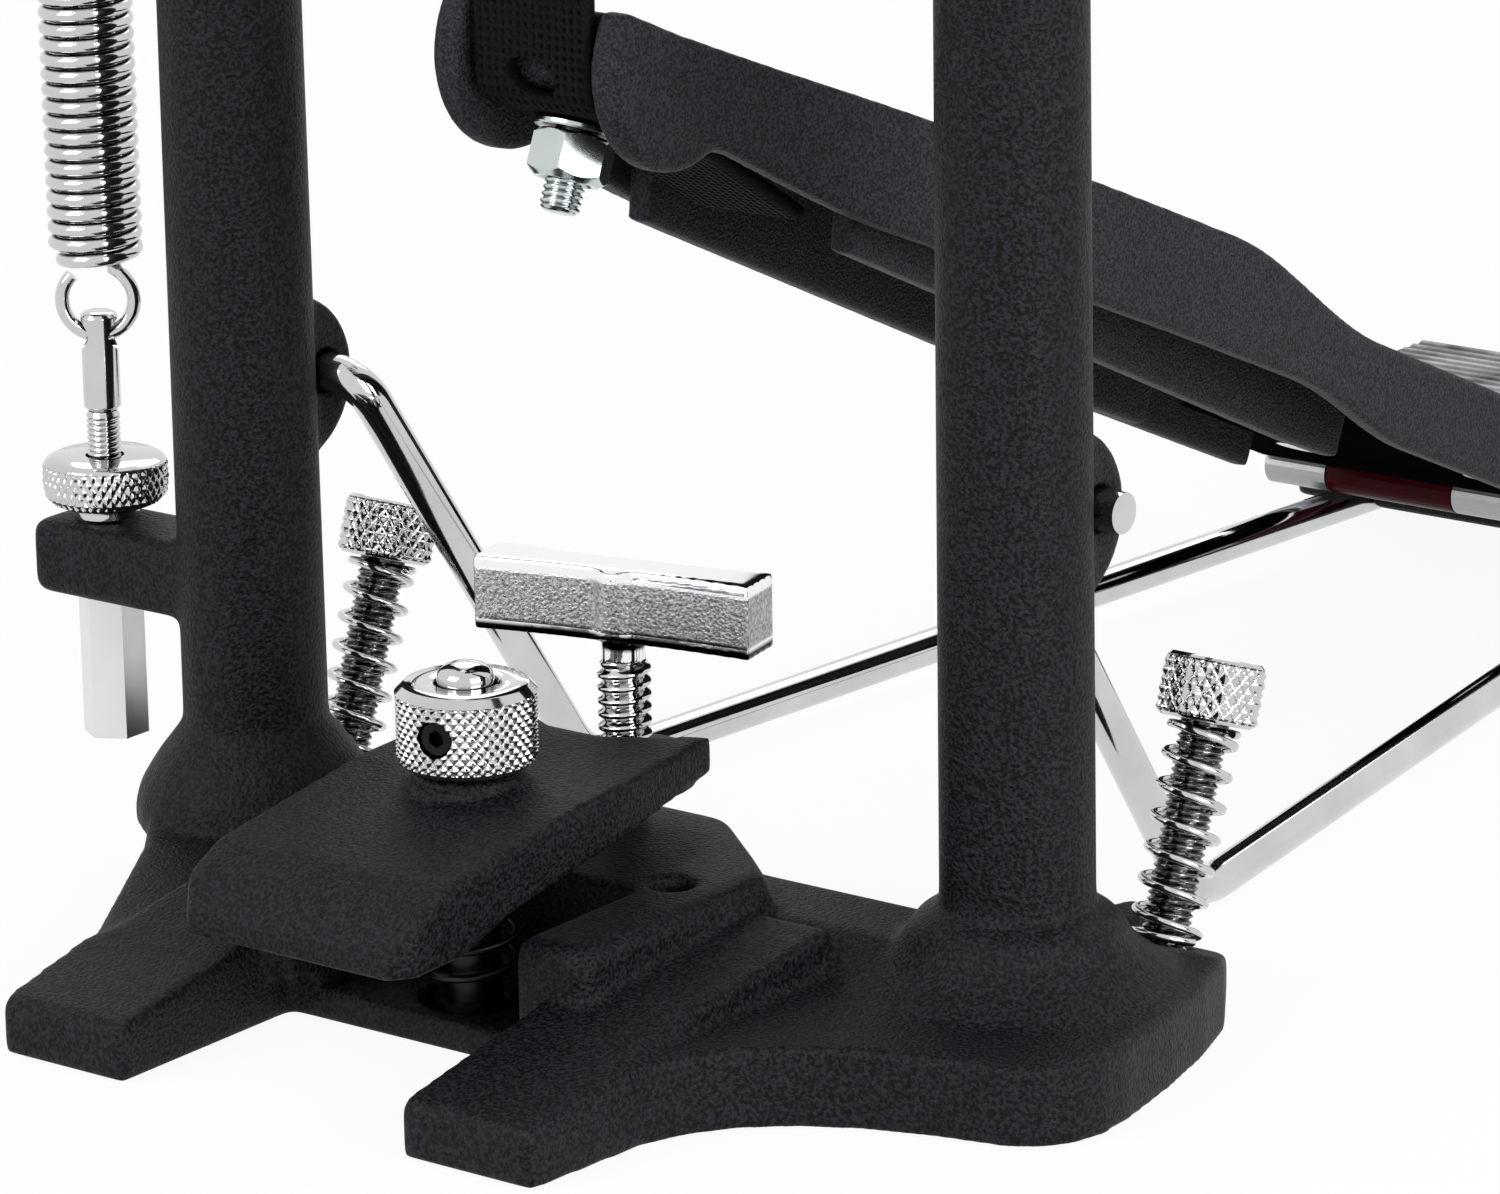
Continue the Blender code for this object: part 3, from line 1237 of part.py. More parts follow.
def make_heel():
    """Heel plate with its rubber mat and bright tread plate."""
    above = HEEL_TOP + 0.01
    heel = plate("heel_plate", heel_outline(0.0, HEEL_FRONT), HEEL_BOTTOM, above)
    heel = common(heel, plate("wedge", heel_side(0.0), -0.1, 0.1, "yz"))
    heel = rounded(heel, 0.0015)
    run = HEEL_BED_FRONT - HEEL_FRONT
    rise = HEEL_NOSE_Z - HEEL_BOTTOM
    nose = [(HEEL_FRONT - run, HEEL_NOSE_Z + rise), (HEEL_BED_FRONT + run, HEEL_BOTTOM - rise)]
    nose += [(HEEL_FRONT - run, HEEL_BOTTOM - rise)]
    heel = cut(heel, plate("nose", nose, -0.1, 0.1, "yz"))
    pocket = plate(
        "pocket",
        heel_outline(HEEL_SKIN, HEEL_FRONT + HEEL_BLOCK),
        HEEL_BOTTOM - 0.01,
        above,
    )
    pocket = common(pocket, plate("ceiling", heel_side(HEEL_SKIN), -0.1, 0.1, "yz"))
    slot_wide = LEAF_HALF_WIDTH + GAP
    slot_low = HINGE_Z - KNUCKLE_RADIUS - GAP
    slot_rear = HEEL_FRONT + LEAF_SLOT_DEPTH
    slot_high = slot_low + LEAF_THICKNESS + 2 * GAP
    slot = box("slot", (-slot_wide, HEEL_FRONT - 0.01, slot_low), (slot_wide, slot_rear, slot_high))
    heel = cut(heel, pocket, slot)
    for side in (1, -1):
        floor, end = rod_route(side)[2:]
        inward = (end - floor).normalized()
        ends = [end - inward * HEEL_BLOCK, end + inward * 2 * GAP]
        heel = cut(heel, tube("rod_hole", ends, ROD_RADIUS + GAP))
    finish(heel, "powder")
    mat = plate("heel_mat", heel_outline(0.0005, HEEL_BED_FRONT + 0.0040), 0.0, HEEL_BOTTOM - GAP)
    finish(mat, "rubber")
    tread_y = HEEL_FRONT + 0.0080
    tread_low = HEEL_TOP + GAP
    tread_wide = HEEL_HALF_WIDTH - 0.0035
    tread = box(
        "tread_plate",
        (-tread_wide, tread_y, tread_low),
        (tread_wide, tread_y + TREAD_LENGTH, tread_low + TREAD_THICKNESS),
    )
    finish(rounded(tread, 0.0004, 1), "aluminium")


def make_axle(axle):
    """Axle, hexagonal between the posts, in two ball bearings."""
    inner_end = POST_OFFSET - EYE_WIDTH / 2 - 0.0010
    left = SPRING_OFFSET + 0.0010
    right = POST_OFFSET + EYE_WIDTH / 2 + 0.0020
    shaft = rod("axle", AXLE_RADIUS, (left, 0, AXLE_HEIGHT), right - left, "x", 20)
    hexagon = rod("hexagon", AXLE_HEX_RADIUS, (-inner_end, 0, AXLE_HEIGHT), 2 * inner_end, "x", 6)
    carry(axle, finish(join(shaft, hexagon), "chrome"))
    for side, name in ((1, "right"), (-1, "left")):
        start = (side * POST_OFFSET - BEARING_WIDTH / 2, 0, AXLE_HEIGHT)
        outer_name = name + "_bearing_outer"
        finish(ring(outer_name, BEARING_RADIUS, OUTER_RACE_INSIDE, start, BEARING_WIDTH, "x", 24), "zinc")
        inner_name = name + "_bearing_inner"
        inner = ring(inner_name, INNER_RACE_OUTSIDE, AXLE_RADIUS + GAP, start, BEARING_WIDTH, "x", 24)
        carry(axle, finish(inner, "zinc"))


def make_wheel(axle):
    """Strap wheel with two flanges, fixed to the axle's hexagon."""
    groove = TOE_SLOT_HALF_WIDTH
    half = groove + WHEEL_FLANGE_WIDTH
    web = WHEEL_WEB / 2
    rim_inside = WHEEL_RADIUS - 0.0050
    rim = WHEEL_RADIUS
    tall = WHEEL_RADIUS + WHEEL_FLANGE
    bore = AXLE_HEX_RADIUS * 0.8
    profile = [
        (bore, half),
        (WHEEL_HUB_RADIUS, half),
        (WHEEL_HUB_RADIUS, web),
        (rim_inside, web),
        (rim_inside, half),
        (tall, half),
        (tall, groove),
        (rim, groove),
        (rim, -groove),
        (tall, -groove),
        (tall, -half),
        (rim_inside, -half),
        (rim_inside, -web),
        (WHEEL_HUB_RADIUS, -web),
        (WHEEL_HUB_RADIUS, -half),
        (bore, -half),
        (bore, half),
    ]
    wheel = turned("drive_wheel", profile, (0, 0, AXLE_HEIGHT), "x", 32)
    bore_radius = AXLE_HEX_RADIUS + 1.2 * GAP
    wheel = cut(wheel, rod("hex_bore", bore_radius, (-2 * half, 0, AXLE_HEIGHT), 4 * half, "x", 6))
    centre, radius, angle, _ = strap_tangent()
    clamp_angle = angle - math.radians(STRAP_WRAP - 7)
    outward = Vector((0, math.cos(clamp_angle), math.sin(clamp_angle)))
    placed = Matrix.Translation((0, 0, AXLE_HEIGHT)) @ outward.to_track_quat("Z", "X").to_matrix().to_4x4()
    screw_radius = 0.0020
    hole = rod("hole", screw_radius + GAP, (0, 0, rim_inside - 0.002), 0.012, "z", 16)
    hole.data.transform(placed)
    carry(axle, finish(cut(wheel, hole), "aluminium"))
    strap = bpy.data.objects["strap_on_wheel"]
    strap_hole = rod("strap_hole", screw_radius + GAP, (0, 0, rim_inside), 0.02, "z", 16)
    strap_hole.data.transform(placed)
    carry(axle, finish(cut(strap, strap_hole), "nylon"))
    seat = radius + STRAP_THICKNESS / 2 + 0.0006
    bar = box("strap_bar", (-0.0030, -STRAP_WIDTH / 2, seat), (0.0030, STRAP_WIDTH / 2, seat + 0.0016))
    bar = cut(rounded(bar, 0.0004, 1), rod("hole", screw_radius + GAP, (0, 0, seat - 0.01), 0.02, "z", 16))
    screw_top = seat + 0.0016 + GAP
    screw = rod("strap_screw", screw_radius, (0, 0, rim_inside + 0.0005), screw_top - rim_inside, "z", 16)
    screw = join(screw, rod("head", 0.0034, (0, 0, screw_top), 0.0020, "z", 20))
    for piece, look in ((bar, "zinc"), (screw, "zinc")):
        piece.data.transform(placed)
        carry(axle, finish(piece, look))


def beater_frame():
    """Placement in which the beater rod stands upright beside the axle."""
    return Matrix.Translation((0, 0, AXLE_HEIGHT)) @ Matrix.Rotation(-BEATER_LEAN, 4, "X")


def hub_start():
    return TOE_SLOT_HALF_WIDTH + WHEEL_FLANGE_WIDTH + 0.0005


def make_hub(axle):
    """Hub beside the wheel that clamps the beater rod, with its two screws."""
    start = hub_start()
    middle = start + HUB_WIDTH / 2
    front = BEATER_SET_BACK + BEATER_ROD_RADIUS + 0.0030
    hub = rod("beater_hub", HUB_RADIUS, (start, 0, 0), HUB_WIDTH, "x", 32)
    block = box("block", (start, -front, -0.0080), (start + HUB_WIDTH, 0, 0.0080))
    hub = join(hub, rounded(block, 0.0010))
    bore = rod("bore", AXLE_HEX_RADIUS + GAP, (start - 0.01, 0, 0), HUB_WIDTH + 0.02, "x", 24)
    rod_bore = rod("rod_bore", BEATER_ROD_RADIUS + GAP, (middle, -BEATER_SET_BACK, -0.03), 0.06)
    screw_radius = 0.0024
    hole_radius = screw_radius + GAP
    hole_length = front - BEATER_SET_BACK + 0.01
    front_hole = rod("front_hole", hole_radius, (middle, -front - 0.01, 0), hole_length, "y", 16)
    back_hole = rod("back_hole", hole_radius, (middle, 0, 0), 2 * HUB_RADIUS, "y", 16)
    hub = cut(hub, bore, rod_bore, front_hole, back_hole)
    head = 0.0060
    square = 0.0033
    shank_front = -front - GAP - head / 2
    shank_rear = -BEATER_SET_BACK - BEATER_ROD_RADIUS - GAP
    front_length = shank_rear - shank_front
    front_screw = rod("beater_key_screw", screw_radius, (middle, shank_front, 0), front_length, "y", 16)
    front_head = rod("head", square, (middle, -front - GAP - head, 0), head, "y", 4)
    back_start = (middle, AXLE_HEX_RADIUS + 2 * GAP, 0)
    back_screw = rod("hub_key_screw", screw_radius, back_start, HUB_RADIUS - AXLE_HEX_RADIUS, "y", 16)
    back_head = rod("head", square, (middle, HUB_RADIUS + GAP, 0), head, "y", 4)
    front_screw = join(front_screw, front_head)
    back_screw = join(back_screw, back_head)
    for piece, look in ((hub, "aluminium"), (front_screw, "chrome"), (back_screw, "chrome")):
        piece.data.transform(beater_frame())
        carry(axle, finish(piece, look))


def make_beater(beater):
    """Beater: rod, plastic core and felt face."""
    middle = hub_start() + HUB_WIDTH / 2
    y = -BEATER_SET_BACK
    top = BEATER_ROD_LENGTH - BEATER_ROD_BELOW
    stem = rod("beater_rod", BEATER_ROD_RADIUS, (middle, y, -BEATER_ROD_BELOW), BEATER_ROD_LENGTH, "z", 20)
    height = top - 0.0080
    back = y + BEATER_CORE_DEPTH / 2
    core_profile = [
        (0.0, BEATER_CORE_DEPTH),
        (BEATER_CORE_RADIUS * 0.75, BEATER_CORE_DEPTH),
        (BEATER_CORE_RADIUS, BEATER_CORE_DEPTH - 0.0050),
        (BEATER_CORE_RADIUS, 0.0),
        (0.0, 0.0),
    ]
    core = turned("beater_core", core_profile, (middle, back - BEATER_CORE_DEPTH, height), "y", 32)
    core = cut(core, rod("socket", BEATER_ROD_RADIUS + GAP, (middle, y, height - 0.05), 0.05 + 0.0080 + GAP))
    front = back - BEATER_CORE_DEPTH - GAP
    crown = 0.0040
    felt_profile = [(0.0, 0.0), (BEATER_FELT_RADIUS, 0.0)]
    felt_profile += [(BEATER_FELT_RADIUS, -BEATER_FELT_DEPTH * 0.6)]
    for i in range(1, 6):
        f = math.radians(90 * i / 5)
        felt_profile.append(
            (
                BEATER_FELT_RADIUS - crown * (1 - math.cos(f)) * 1.5,
                -BEATER_FELT_DEPTH * 0.6 - (BEATER_FELT_DEPTH * 0.4 - 0.0010) * math.sin(f),
            )
        )
    felt_profile.append((0.0, -BEATER_FELT_DEPTH))
    felt = turned("beater_felt", felt_profile, (middle, front, height), "y", 32)
    for piece, look in ((stem, "chrome"), (core, "plastic"), (felt, "felt")):
        piece.data.transform(beater_frame())
        carry(beater, finish(piece, look))


def make_rocker(axle, stirrup):
    """Rocker clamped to the axle's end, with a pin that pulls the spring through a stirrup."""
    x = SPRING_OFFSET
    pin_z = AXLE_HEIGHT - ROCKER_ARM
    hub_low = x + 0.0015
    hub_length = -POST_OFFSET - EYE_WIDTH / 2 - 0.0010 - hub_low
    arm_low = x + 0.0040
    arm_width = 0.0050
    rocker = rod("rocker", 0.0090, (hub_low, 0, AXLE_HEIGHT), hub_length, "x", 32)
    arm = plate("arm", rocker_outline(pin_z), arm_low, arm_low + arm_width, "yz")
    pin_start = x - 0.0035
    pin_length = arm_low + arm_width / 2 - pin_start
    pin = rod("pin", ROCKER_PIN_RADIUS, (pin_start, 0, pin_z), pin_length, "x", 20)
    rocker = join(rocker, arm, pin)
    bore = rod("bore", AXLE_RADIUS + GAP, (hub_low - 0.01, 0, AXLE_HEIGHT), hub_length + 0.02, "x", 20)
    screw_radius = 0.0020
    screw_x = hub_low + hub_length / 2
    screw_hole = rod("screw_hole", screw_radius + GAP, (screw_x, 0, AXLE_HEIGHT), 0.02, "z", 16)
    carry(axle, finish(cut(rocker, bore, screw_hole), "aluminium"))
    screw_start = (screw_x, 0, AXLE_HEIGHT + AXLE_RADIUS + GAP)
    screw = rod("rocker_key_screw", screw_radius, screw_start, 0.0080, "z", 16)
    head = rod("head", 0.0030, (screw_x, 0, AXLE_HEIGHT + 0.0090 + GAP), 0.0050, "z", 4)
    carry(axle, finish(join(screw, head), "chrome"))
    wire_low = SPRING_BOTTOM + SPRING_PITCH * SPRING_TURNS + HOOK_REACH - SPRING_WIRE / 2
    hole_radius = 0.0024
    hole_z = wire_low - 0.0007 + hole_radius
    eye = rod("spring_stirrup", 0.0050, (x - 0.0016, 0, pin_z), 0.0032, "x", 24)
    tab = box("tab", (x - 0.0010, -0.0042, hole_z - hole_radius - 0.0025), (x + 0.0010, 0.0042, pin_z))
    slack = 0.0012
    loop = rod("loop", 0.0058, (x - 0.0016, 0, pin_z - slack), 0.0032, "x", 24)
    eye = join(eye, loop, rounded(tab, 0.0004, 1))
    pin_hole = rod("pin_hole", ROCKER_PIN_RADIUS + GAP, (x - 0.01, 0, pin_z), 0.02, "x", 20)
    slack_hole = rod("slack_hole", ROCKER_PIN_RADIUS + 0.0014, (x - 0.01, 0, pin_z - slack), 0.02, "x", 20)
    pin_hole = join(pin_hole, slack_hole)
    wire_hole = rod("wire_hole", hole_radius, (x - 0.01, 0, hole_z), 0.02, "x", 20)
    carry(stirrup, finish(cut(eye, pin_hole, wire_hole), "zinc"))


def rocker_outline(pin_z):
    """Arm in side view, from the axle down to the pin."""
    top = arc((0.0, AXLE_HEIGHT), 0.0075, 0, 180, 10)
    return top + arc((0.0, pin_z), 0.0046, 180, 360, 10)


def main():
    clear_scene()
    axle = pivot("axle_pivot", (0, 0, AXLE_HEIGHT))
    hinge = pivot("footboard_pivot", (0, HINGE_Y, HINGE_Z))
    beater = pivot("beater_pivot", (0, 0, AXLE_HEIGHT))
    lower_hook = pivot("spring_pivot", (SPRING_OFFSET, 0, EYE_HEIGHT))
    stirrup = pivot("stirrup_pivot", (SPRING_OFFSET, 0, AXLE_HEIGHT - ROCKER_ARM))
    strap_pivot = pivot("strap_pivot", STRAP_PIVOT)
    make_frame()
    make_rods()
    make_tension_rod()
    make_return_spring(lower_hook)
    make_clamp()
    make_stud()
    make_wing_screw()
    make_spurs()
    make_footboard(hinge)
    make_strap(axle, strap_pivot, hinge)
    make_strap_bolt(hinge)
    make_hinge(hinge)
    make_heel()
    make_axle(axle)
    make_wheel(axle)
    make_hub(axle)
    make_beater(beater)
    make_rocker(axle, stirrup)


main()
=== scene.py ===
"""Bass drum pedal dressed for a studio photograph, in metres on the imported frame."""

import math

import bmesh
import bpy
from mathutils import Matrix, Vector


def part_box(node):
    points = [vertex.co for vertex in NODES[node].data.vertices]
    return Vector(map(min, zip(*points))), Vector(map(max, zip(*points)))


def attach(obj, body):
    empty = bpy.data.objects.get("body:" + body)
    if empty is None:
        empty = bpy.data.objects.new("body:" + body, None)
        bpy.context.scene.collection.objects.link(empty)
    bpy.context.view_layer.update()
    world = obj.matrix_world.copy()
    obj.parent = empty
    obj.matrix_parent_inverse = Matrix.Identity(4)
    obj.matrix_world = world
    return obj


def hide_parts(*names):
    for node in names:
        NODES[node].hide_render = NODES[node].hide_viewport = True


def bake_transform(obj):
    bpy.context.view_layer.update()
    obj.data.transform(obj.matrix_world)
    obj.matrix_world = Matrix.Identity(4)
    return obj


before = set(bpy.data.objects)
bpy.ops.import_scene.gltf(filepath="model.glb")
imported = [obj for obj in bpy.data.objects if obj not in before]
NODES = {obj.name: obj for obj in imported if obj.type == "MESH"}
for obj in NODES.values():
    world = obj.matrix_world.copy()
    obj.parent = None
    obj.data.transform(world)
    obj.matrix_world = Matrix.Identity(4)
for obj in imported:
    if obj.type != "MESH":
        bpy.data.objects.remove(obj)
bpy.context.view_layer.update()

# Photograph
IMAGE_WIDTH = 1500
CAMERA_PLACE = Vector((0.4914, -0.6151, 0.2723))
CAMERA_AZIMUTH = math.radians(37.49)
CAMERA_ELEVATION = math.radians(16.13)
CAMERA_ROLL = math.radians(-1.01)
FOCAL_PIXELS = 7011
SENSOR_WIDTH = 36

# Places taken over from the solids
AXLE_HEIGHT = 0.1780
SPRING_X = -0.0803
SPRING_WIRE = 0.00175
SPRING_RADIUS = 0.00495
SPRING_BOTTOM = 0.0760
SPRING_LENGTH = 0.0589
SPRING_TURNS = 31
SPRING_FACING = math.radians(-53)
HOOK_RADIUS = 0.0044
HOOK_LEAD = math.radians(28)
HOOK_SPIRAL = 0.0022
HOOK_SPIRAL_TURN = 1.5 * math.pi
HOOK_OPENING = 2.6 * HOOK_LEAD
STUD_Y = -0.0280
SPUR_OFFSET = 0.0620
SPUR_Y = 0.0225
SPUR_LEAN = math.radians(19.5)
WING_THICKNESS = 0.0095
WING_SCREW_Y = 0.0010
WING_SCREW_ROOM = 0.0042
WING_BOTTOM = 0.0398
WING_HEIGHT = 0.0090
WING_NECK = 0.0028
WING_ROUND = 0.0013
PLATFORM_HEIGHT = 0.0175
BOARD_ANGLE = math.radians(23.6)
HINGE = Vector((0, 0.1960, 0.0120))
KNUCKLE_RADIUS = 0.0028
SIDES = ((1, "right"), (-1, "left"))

# Rounding on the edges of the solids that are kept
EDGE_ROUND = 0.0003

# Steepness of knurl and thread flanks, whose crests are cut flat
KNURL_SLOPE = 1.15
THREAD_SLOPE = 1.3

# Colour of the painted shade in gaps, of the painted dark reflection along the wing's lower edge and of the
# black hinge leaf, and strength of the light from all around
NEAR_BLACK = (0.004, 0.004, 0.005)
AMBIENT = 0.38


def link(name, mesh):
    """New object with a mesh, in the scene."""
    thing = bpy.data.objects.new(name, mesh)
    bpy.context.scene.collection.objects.link(thing)
    return thing


class Nodes:
    """Small helper that builds a Principled material from its nodes."""

    def __init__(self, name):
        self.material = bpy.data.materials.new(name)
        self.material.use_nodes = True
        self.tree = self.material.node_tree
        self.shader = self.tree.nodes["Principled BSDF"]
        self.place = self.add("ShaderNodeTexCoord").outputs["Object"]

    def add(self, kind, **values):
        node = self.tree.nodes.new(kind)
        for key, value in values.items():
            setattr(node, key, value)
        return node

    def join(self, output, socket):
        self.tree.links.new(output, socket)

    def noise(self, scale, detail=3.0, stretch=None):
        place = self.place
        if stretch:
            mapping = self.add("ShaderNodeMapping")
            mapping.inputs["Scale"].default_value = stretch
            self.join(place, mapping.inputs["Vector"])
            place = mapping.outputs["Vector"]
        node = self.add("ShaderNodeTexNoise")
        node.inputs["Scale"].default_value = scale
        node.inputs["Detail"].default_value = detail
        self.join(place, node.inputs["Vector"])
        return node.outputs["Fac"]

    def ramp(self, value, low, high, start=0.3, stop=0.7):
        """Turn a value into a run between two colours or two numbers."""
        node = self.add("ShaderNodeValToRGB")
        first, last = node.color_ramp.elements
        first.position = start
        last.position = stop
        first.color = low if len(low) == 4 else (*low, 1)
        last.color = high if len(high) == 4 else (*high, 1)
        self.join(value, node.inputs["Fac"])
        return node.outputs["Color"]

    def span(self, value, low, high, start=0.0, stop=1.0):
        """Turn a value into a number that goes from low at start to high at stop."""
        node = self.add("ShaderNodeMapRange")
        node.inputs["From Min"].default_value = start
        node.inputs["From Max"].default_value = stop
        node.inputs["To Min"].default_value = low
        node.inputs["To Max"].default_value = high
        self.join(value, node.inputs["Value"])
        return node.outputs["Result"]

    def calculate(self, operation, value, other=None):
        """Work on a value, with a plain number or another value beside it."""
        node = self.add("ShaderNodeMath", operation=operation)
        self.join(value, node.inputs[0])
        if isinstance(other, float):
            node.inputs[1].default_value = other
        elif other is not None:
            self.join(other, node.inputs[1])
        return node.outputs[0]

    def constant(self, socket, value):
        self.shader.inputs[socket].default_value = value

    def colour(self, value, low, high, start=0.3, stop=0.7):
        self.join(self.ramp(value, low, high, start, stop), self.shader.inputs["Base Color"])

    def paint_darkness(self, value, start, stop):
        """Paint darkness into the colour where a value is low, from nearly black at start to none at stop:
        painted shade in gaps and a painted dark reflection on an edge.
        """
        mix = self.add("ShaderNodeMix", data_type="RGBA", blend_type="MULTIPLY")
        mix.inputs["Factor"].default_value = 1.0
        base = self.shader.inputs["Base Color"]
        self.join(base.links[0].from_socket, mix.inputs["A"])
        self.join(self.ramp(value, NEAR_BLACK, (1, 1, 1), start, stop), mix.inputs["B"])
        self.join(mix.outputs["Result"], base)

    def paint_gap_shade(self, reach, start, stop):
        """Painted shade in narrow gaps, such as thread roots and those between coils, where ambient
        occlusion is low.
        """
        gap = self.add("ShaderNodeAmbientOcclusion", samples=8)
        gap.inputs["Distance"].default_value = reach
        self.paint_darkness(gap.outputs["AO"], start, stop)

    def roughness(self, value, low, high):
        self.join(self.span(value, low, high), self.shader.inputs["Roughness"])

    def bump(self, value, depth, strength=1.0):
        node = self.add("ShaderNodeBump")
        node.inputs["Strength"].default_value = strength
        node.inputs["Distance"].default_value = depth
        self.join(value, node.inputs["Height"])
        self.join(node.outputs["Normal"], self.shader.inputs["Normal"])


def powder_coat(name, low, high, grain_size):
    """Matt coat whose grain carries painted shade, darker in its pits, and painted highlights, lighter on
    its bumps.
    """
    made = Nodes(name)
    grain = made.noise(grain_size, detail=2.0)
    # Painted shade and highlight: the colour follows the same grain as the bump
    made.colour(grain, low, high, start=0.42, stop=0.60)
    made.roughness(made.noise(700), 0.44, 0.58)
    made.bump(grain, depth=0.00035, strength=0.85)
    made.constant("Specular IOR Level", 0.13)
    return made.material


def metal(name, low, high, smooth, rough, grain=900.0, depth=0.00001, stretch=None):
    """Bare or plated metal with fine marks, with painted shade in its crevices."""
    made = Nodes(name)
    made.constant("Metallic", 1.0)
    texture = made.noise(grain, detail=4.0, stretch=stretch)
    made.colour(made.noise(grain / 9), low, high)
    # Painted shade: the colour is darkened in narrow gaps
    made.paint_gap_shade(reach=0.0010, start=0.30, stop=0.72)
    made.roughness(texture, smooth, rough)
    made.bump(texture, depth, strength=0.4)
    return made.material


def blasted_chrome():
    """Chrome that is blasted on its upright sides and polished on its edges, with a painted dark reflection
    along the lower edge.
    """
    made = Nodes("blasted_chrome")
    made.constant("Metallic", 1.0)
    split = made.add("ShaderNodeSeparateXYZ")
    made.join(made.place, split.inputs["Vector"])

    def away_from(level):
        return made.calculate("ABSOLUTE", made.calculate("SUBTRACT", split.outputs["Z"], level))

    side = WING_HEIGHT / 2 - WING_ROUND
    panel = made.span(away_from(WING_BOTTOM + WING_HEIGHT / 2), 0.0, 1.0, start=side, stop=side - 0.0004)
    grain = made.calculate("MULTIPLY", made.noise(2600), panel)
    made.colour(grain, (0.88, 0.89, 0.90), (0.12, 0.12, 0.125), start=0.05, stop=0.76)
    # Painted dark reflection: the colour turns nearly black within about a millimetre of the lower edge
    painted_reflection_mask = made.span(away_from(WING_BOTTOM), 0.0, 1.0, start=0.0008, stop=0.0013)
    made.paint_darkness(painted_reflection_mask, 0.0, 1.0)
    made.roughness(panel, 0.08, 0.34)
    made.bump(grain, depth=0.00018, strength=0.8)
    return made.material


def hinge_leaf():
    """Black leaf whose knuckles, near the hinge's axis, are bright."""
    made = Nodes("hinge_leaf")
    centre = made.add("ShaderNodeVectorMath", operation="SUBTRACT")
    centre.inputs[1].default_value = HINGE
    made.join(made.place, centre.inputs[0])
    flat = made.add("ShaderNodeVectorMath", operation="MULTIPLY")
    flat.inputs[1].default_value = (0, 1, 1)
    made.join(centre.outputs["Vector"], flat.inputs[0])
    away = made.add("ShaderNodeVectorMath", operation="LENGTH")
    made.join(flat.outputs["Vector"], away.inputs[0])
    outside = KNUCKLE_RADIUS + 0.0005
    bright = made.span(away.outputs["Value"], 0.0, 1.0, start=outside, stop=KNUCKLE_RADIUS + 0.0003)
    made.colour(bright, NEAR_BLACK, (0.36, 0.36, 0.37))
    made.join(bright, made.shader.inputs["Metallic"])
    made.roughness(made.noise(600), 0.30, 0.46)
    made.bump(made.noise(900), depth=0.00002, strength=0.4)
    made.constant("Specular IOR Level", 0.0)
    return made.material


def plain(name, low, high, smooth, rough, grain, depth, sheen=0.0, gloss=0.5):
    """Paint, rubber, plastic or cloth with an uneven skin."""
    made = Nodes(name)
    texture = made.noise(grain, detail=5.0)
    made.colour(texture, low, high)
    made.roughness(made.noise(grain / 3), smooth, rough)
    made.bump(texture, depth, strength=0.6)
    made.constant("Sheen Weight", sheen)
    made.constant("Specular IOR Level", gloss)
    return made.material


LOOKS = {
    "powder": powder_coat(
        "powder_coat", (0.0004, 0.0004, 0.0007), (0.0135, 0.0128, 0.0170), grain_size=2100
    ),
    "paint": powder_coat(
        "board_coat", (0.0060, 0.0058, 0.0074), (0.0270, 0.0262, 0.0320), grain_size=2700
    ),
    "chrome": metal("chrome", (0.54, 0.55, 0.555), (0.62, 0.63, 0.64), smooth=0.05, rough=0.12),
    "blasted": blasted_chrome(),
    "zinc": metal(
        "zinc_plate", (0.50, 0.56, 0.56), (0.64, 0.67, 0.66), smooth=0.12, rough=0.24,
        grain=700.0, depth=0.00002,
    ),
    "satin": metal(
        "satin_steel", (0.66, 0.66, 0.66), (0.76, 0.76, 0.76), smooth=0.26, rough=0.36,
        grain=600.0, depth=0.00002, stretch=(9, 9, 1),
    ),
    "aluminium": metal(
        "aluminium", (0.56, 0.57, 0.58), (0.66, 0.67, 0.68), smooth=0.26, rough=0.42,
        grain=500.0, depth=0.00002, stretch=(12, 1, 1),
    ),
    # Tread metal with dark and light patches at random
    "tread": metal(
        "patchy_aluminium", (0.03, 0.03, 0.033), (0.24, 0.24, 0.25), smooth=0.24, rough=0.48,
        grain=1300.0, depth=0.00006,
    ),
    "red": plain(
        "red_enamel", (0.034, 0.0005, 0.003), (0.052, 0.001, 0.005), smooth=0.22, rough=0.34,
        grain=300.0, depth=0.00003, gloss=0.06,
    ),
    "rubber": plain(
        "rubber", (0.010, 0.010, 0.010), (0.018, 0.018, 0.018), smooth=0.70, rough=0.90,
        grain=900.0, depth=0.00010,
    ),
    "plastic": plain(
        "black_plastic", (0.006, 0.006, 0.007), (0.011, 0.011, 0.012), smooth=0.30, rough=0.44,
        grain=700.0, depth=0.00004,
    ),
    "felt": plain(
        "felt", (0.50, 0.47, 0.41), (0.70, 0.67, 0.60), smooth=0.90, rough=1.0,
        grain=1100.0, depth=0.00060, sheen=0.5,
    ),
    "nylon": plain(
        "woven_nylon", (0.0015, 0.0015, 0.0018), (0.0080, 0.0076, 0.0084), smooth=0.60, rough=0.80,
        grain=2600.0, depth=0.00010, gloss=0.05,
    ),
    "steel": metal("dark_steel", (0.16, 0.16, 0.17), (0.30, 0.30, 0.31), smooth=0.12, rough=0.22),
    "oxide": metal("black_oxide", (0.012, 0.012, 0.013), (0.030, 0.030, 0.032), smooth=0.30, rough=0.45),
    "hinge": hinge_leaf(),
}


def dress(thing, look):
    """Give a piece one of the looks."""
    thing.data.materials.clear()
    thing.data.materials.append(LOOKS[look])
    return thing


def smooth_mesh(mesh, angle=35):
    """Shade smooth, with creases over an angle kept sharp."""
    mesh.shade_smooth()
    mesh.set_sharp_from_angle(angle=math.radians(angle))


def from_bmesh(name, work):
    """New object from a finished bmesh, with its normals outward."""
    bmesh.ops.recalc_face_normals(work, faces=work.faces)
    mesh = bpy.data.meshes.new(name)
    work.to_mesh(mesh)
    work.free()
    return link(name, mesh)


